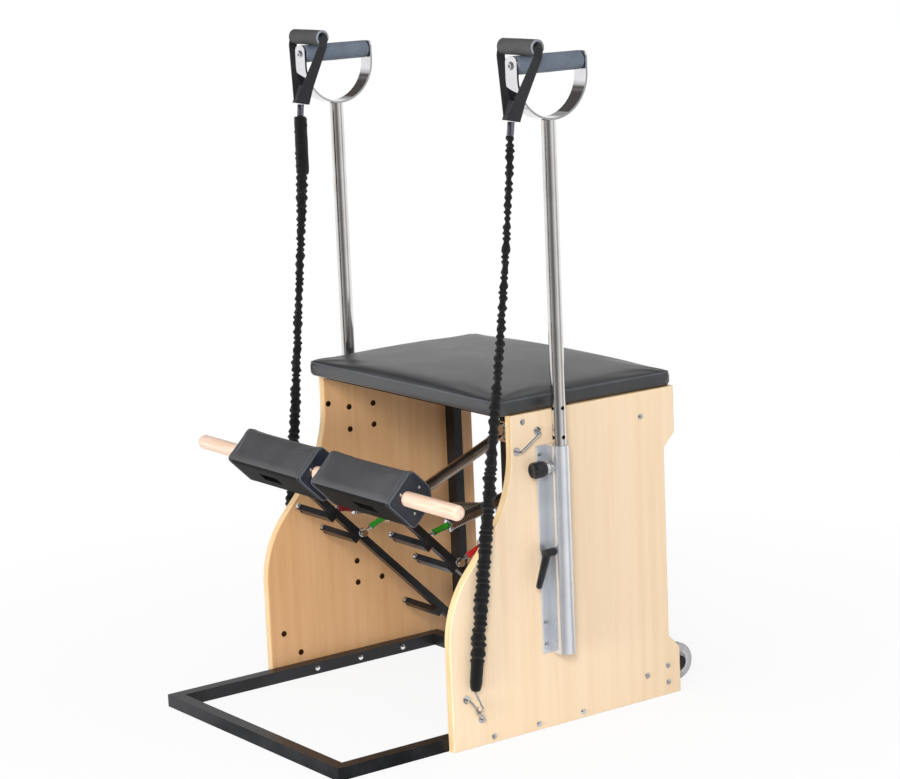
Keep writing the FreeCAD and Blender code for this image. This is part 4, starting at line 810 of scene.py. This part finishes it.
for name, side in SIDES.items():
    body = name + "_pole"
    hub = Vector((POLE.x * side, POLE.y, 1.27))
    half = 0.0777
    profile = [(0, -half), (0.0138, -half), (0.0164, -half + 0.0013), (0.0175, -half + 0.004)]
    profile += [(0.0175, -0.04), (0.0178, 0), (0.0175, 0.04)]
    profile += [(0.0175, half - 0.004), (0.0164, half - 0.0013), (0.0138, half), (0, half)]
    grip = piece(name + "_grip_sleeve", from_forms(name + "_grip", lathe(profile, facing(hub, (0, 1, 0)), 40)),
                 FINISHES["grey_foam"], body)
    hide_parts(name + "_foam_grip")
    for end in (-1, 1):
        at = hub + Vector((0, 0.082 * end, 0))
        bolt = lathe([(0, 0), (0.0078, 0), (0.0078, 0.0006), (0.0068, 0.0006), (0.0066, 0.0022), (0.005, 0.0036),
                      (0.0034, 0.0039), (0.003, 0.0014), (0, 0.0014)], facing(at, (0, end, 0)), 28)
        piece("%s_grip_bolt_%s" % (name, "rear" if end > 0 else "front"), from_forms("bolt", bolt),
              FINISHES["bright_steel"], body)
    hand = mirrored(PULL, side)
    half = 0.052
    tube = [(0.0106, -half), (0.0138, -half), (0.015, -half + 0.0014), (0.015, -0.03), (0.0152, 0), (0.015, 0.03),
            (0.015, half - 0.0014), (0.0138, half), (0.0106, half), (0.0106, -half)]
    pull = piece(name + "_pull_sleeve", from_forms(name + "_pull", lathe(tube, facing(hand, (1, 0, 0), (0, 0, 1)), 40)),
                 PULL_FOAM, body)
    pull.data.materials.append(PULL_RIM)
    for polygon in pull.data.polygons:
        polygon.material_index = int(abs(polygon.normal.x) > 0.6)
    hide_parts(name + "_pull_grip")
    strap_place = facing(hand, pull_down)
    corners = [(-0.056, 0), (-0.056, 0.018), (-0.004, WEB_DROP), (0.004, WEB_DROP), (0.056, 0.018), (0.056, 0)]
    form = bmesh.new()
    rims = []
    for edge in (-1, 1):
        rims.append([form.verts.new((x, edge * (0.0095 + 0.0055 * max(z - 0.018, 0) / 0.116), z)) for x, z in corners])
    for first in range(6):
        second = (first + 1) % 6
        form.faces.new((rims[0][first], rims[0][second], rims[1][second], rims[1][first]))
    bmesh.ops.recalc_face_normals(form, faces=form.faces)
    bmesh.ops.solidify(form, geom=form.faces, thickness=0.002)
    sewn = boxed((-1, -1, 0.098), (1, 1, WEB_DROP + 0.001))
    for vertex in sewn.verts:
        low_end = vertex.co.z > 0.12
        vertex.co.x *= 0.006 if low_end else 0.0195
        vertex.co.y = vertex.co.y * 0.0172 if low_end else vertex.co.y * 0.006 - 0.0075
    block = mesh_from(sewn, "sewn_block")
    form.from_mesh(block)
    bmesh.ops.bevel(form, geom=[edge for edge in form.edges if edge.calc_face_angle(0) > 0.3], offset=0.0007,
                    segments=2, profile=0.5, affect="EDGES", material=-1)
    bmesh.ops.transform(form, matrix=strap_place, verts=form.verts)
    web = piece(name + "_pull_strap", mesh_from(form, name + "_strap"), FINISHES["black_webbing"], body,
                soft=False)
    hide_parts(name + "_pull_webbing")
    neck, top, low, down = cord_line(side)
    swivel = lathe([(0, 0), (0.0064, 0), (0.0068, 0.0005), (0.0068, 0.024), (0.0064, 0.0245), (0, 0.0245)],
                   facing(neck, down), 28)
    piece(name + "_swivel", from_forms(name + "_swivel", swivel), SWIVEL, body)


# Knobs of the index plungers, on hexagon necks

for name, side in SIDES.items():
    knob_low, knob_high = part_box(name + "_plunger_knob")
    back_end = Vector((POLE.x * side, knob_low.y + 0.028, (knob_low.z + knob_high.z) / 2))
    place = facing(back_end, (0, -1, 0))
    pin = lathe([(0, -0.022), (0.003, -0.022), (0.003, 0), (0, 0)], place, 20)
    neck = lathe([(0, 0), (0.0092, 0), (0.0098, 0.0008), (0.0098, 0.0092), (0.0092, 0.01), (0, 0.01)], place, 6)
    piece(name + "_knob_neck", from_forms(name + "_neck", pin, neck), FINISHES["bright_steel"], name + "_plunger",
          soft=False)
    body = lathe([(0, 0.01), (0.0118, 0.01), (0.0144, 0.012), (0.0152, 0.016), (0.016, 0.019), (0.016, 0.034),
                  (0.0152, 0.0375), (0.0132, 0.039), (0.0112, 0.039), (0.0106, 0.0376), (0, 0.0372)], place, 72)
    for vertex in body.verts:
        local = place.inverted() @ vertex.co
        if math.hypot(local.x, local.y) > 0.0148:
            turn = math.atan2(local.y, local.x)
            share = 1 - 0.05 * max(math.cos(turn * 12), 0)
            vertex.co = place @ Vector((local.x * share, local.y * share, local.z))
    knob = piece(name + "_knob_grip", from_forms(name + "_knob", body), FINISHES["black_plastic"], name + "_plunger")
    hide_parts(name + "_plunger_knob")


# Threaded inserts on the inner faces of the panels

INSERTS = [(0.038, 0.542), (0.038, 0.495), (0.098, 0.541), (0.098, 0.496), (0.039, 0.213), (0.039, 0.167),
           (0.1, 0.168), (-0.013, 0.556), (-0.15, 0.093), (-0.111, 0.046)]
for name, side in SIDES.items():
    rings = []
    for y, z in INSERTS:
        at = Vector((PANEL_IN * side, y, z))
        rings.append(lathe([(0, 0.0001), (0.0035, 0.0001), (0.0042, 0.0008), (0.0058, 0.0008), (0.0062, 0)],
                           facing(at, (-side, 0, 0), (0, 0, 1)), 20))
    piece(name + "_inserts", from_forms(name + "_inserts", *rings), INSERT, "chassis")


# Bolt heads on the inner sides of the base bars
for name, side in SIDES.items():
    heads = []
    for y in (-0.088, 0.02, 0.128):
        at = Vector(((PANEL_IN - 0.025) * side, y, 0.0125))
        heads.append(lathe([(0, 0.0035), (0.003, 0.0031), (0.0052, 0.0018), (0.006, 0)],
                           facing(at, (-side, 0, 0), (0, 0, 1)), 20))
    piece(name + "_bar_bolts", from_forms(name + "_bar_bolts", *heads), FINISHES["bright_steel"], "chassis")


# Floor, light and background

def walls(finish, way):
    """What shiny pieces see in a direction: white behind the chair, light and dark panels round the camera."""
    sideways = finish.node("VectorMath", {"operation": "DOT_PRODUCT"}, {0: way, 1: tuple(right)}, 1)
    toward = finish.node("VectorMath", {"operation": "DOT_PRODUCT"}, {0: way, 1: tuple(back)}, 1)
    rise = finish.node("SeparateXYZ", {}, {"Vector": way}, 2)
    panels = finish.ramp(sideways * 0.5 + 0.5, (0.0, 0.8), (0.04, 0.3), (0.11, 0.5), (0.25, 0.28), (0.42, 0.15),
                         (0.575, 0.2), (0.7, 0.5), (0.9, 0.9), (0.985, 0.42), (1.0, 0.42))
    behind = finish.node("MapRange", {}, {"Value": toward, "From Min": 0.1, "From Max": -0.2})
    horizon = finish.ramp(rise, (0.17, 1.0), (0.38, 0.35))
    open_room = finish.mix(behind, panels, horizon)
    beam = finish.ramp(rise, (0.3, 0.0), (0.36, 1.0), (0.42, 0.6), (0.48, 1.0), (0.74, 1.0), (0.82, 0.0))
    return finish.mix(beam * (sideways < -0.2), open_room, (0.09, 0.08, 0.075, 1))


def floor():
    """Pale floor that keeps a faint shadow near the chair and runs into the white further out."""
    form = bmesh.new()
    bmesh.ops.create_grid(form, x_segments=1, y_segments=1, size=7)
    ground = bpy.data.objects.new("floor", mesh_from(form, "floor"))
    scene.collection.objects.link(ground)
    finish = Finish("floor_paper")
    finish.set(Base_Color=(0.9, 0.9, 0.9, 1), Roughness=0.9, Specular_IOR_Level=0.1)
    seen = finish.node("LightPath", {}, {}, 0)
    glossy = finish.node("LightPath", {}, {}, 3)
    glass = finish.node("LightPath", {}, {}, 6)
    spot = finish.place()
    far = finish.node("VectorMath", {"operation": "LENGTH"}, {0: spot}, 1)
    way = finish.node("VectorMath", {"operation": "NORMALIZE"}, {0: spot})
    fade = finish.node("MapRange", {}, {"Value": far, "From Min": 0.5, "From Max": 1.7, "To Min": 0.88, "To Max": 1.0})
    shown = finish.mix(glossy, (1, 1, 1, 1), walls(finish, way))
    white = finish.node("Emission", {}, {"Color": shown, "Strength": 1.0})
    paper = Value(finish, finish.shader.outputs[0])
    mixed = finish.node("MixShader", {}, {0: seen * fade + glossy + glass, 1: paper, 2: white})
    finish.tree.links.new(mixed.socket, finish.tree.nodes["Material Output"].inputs["Surface"])
    ground.data.materials.append(finish.material)


def lamp(name, place, target, size, power):
    """A broad soft lamp that shiny pieces do not mirror."""
    light = bpy.data.lights.new(name, "AREA")
    light.shape = "DISK"
    light.size = size
    light.energy = power
    holder = bpy.data.objects.new(name, light)
    scene.collection.objects.link(holder)
    holder.visible_glossy = False
    holder.location = place
    holder.rotation_mode = "QUATERNION"
    holder.rotation_quaternion = (Vector(target) - Vector(place)).to_track_quat("-Z", "Y")


def studio():
    """White to the eye, soft to the surfaces, with broad light and dark walls for the metal to show."""
    world = Finish("studio", world=True)
    scene.world = world.material
    way = world.node("TexCoord", {}, {}, 0)
    seen = world.node("LightPath", {}, {}, 0)
    glossy = world.node("LightPath", {}, {}, 3)
    soft = world.mix(glossy, (0.42, 0.42, 0.42, 1), walls(world, way))
    world.set(Color=world.mix(seen, soft, (1, 1, 1, 1)), Strength=1.0)


floor()
studio()
lamp("key", (3.1, -2.4, 2.1), (0, 0, 0.5), 1.1, 89)
lamp("top", (0.3, -0.6, 3.9), (0, 0, 0.5), 2.4, 30)
lamp("front", (1.3, -4.0, 0.6), (0, 0, 0.5), 1.4, 84)
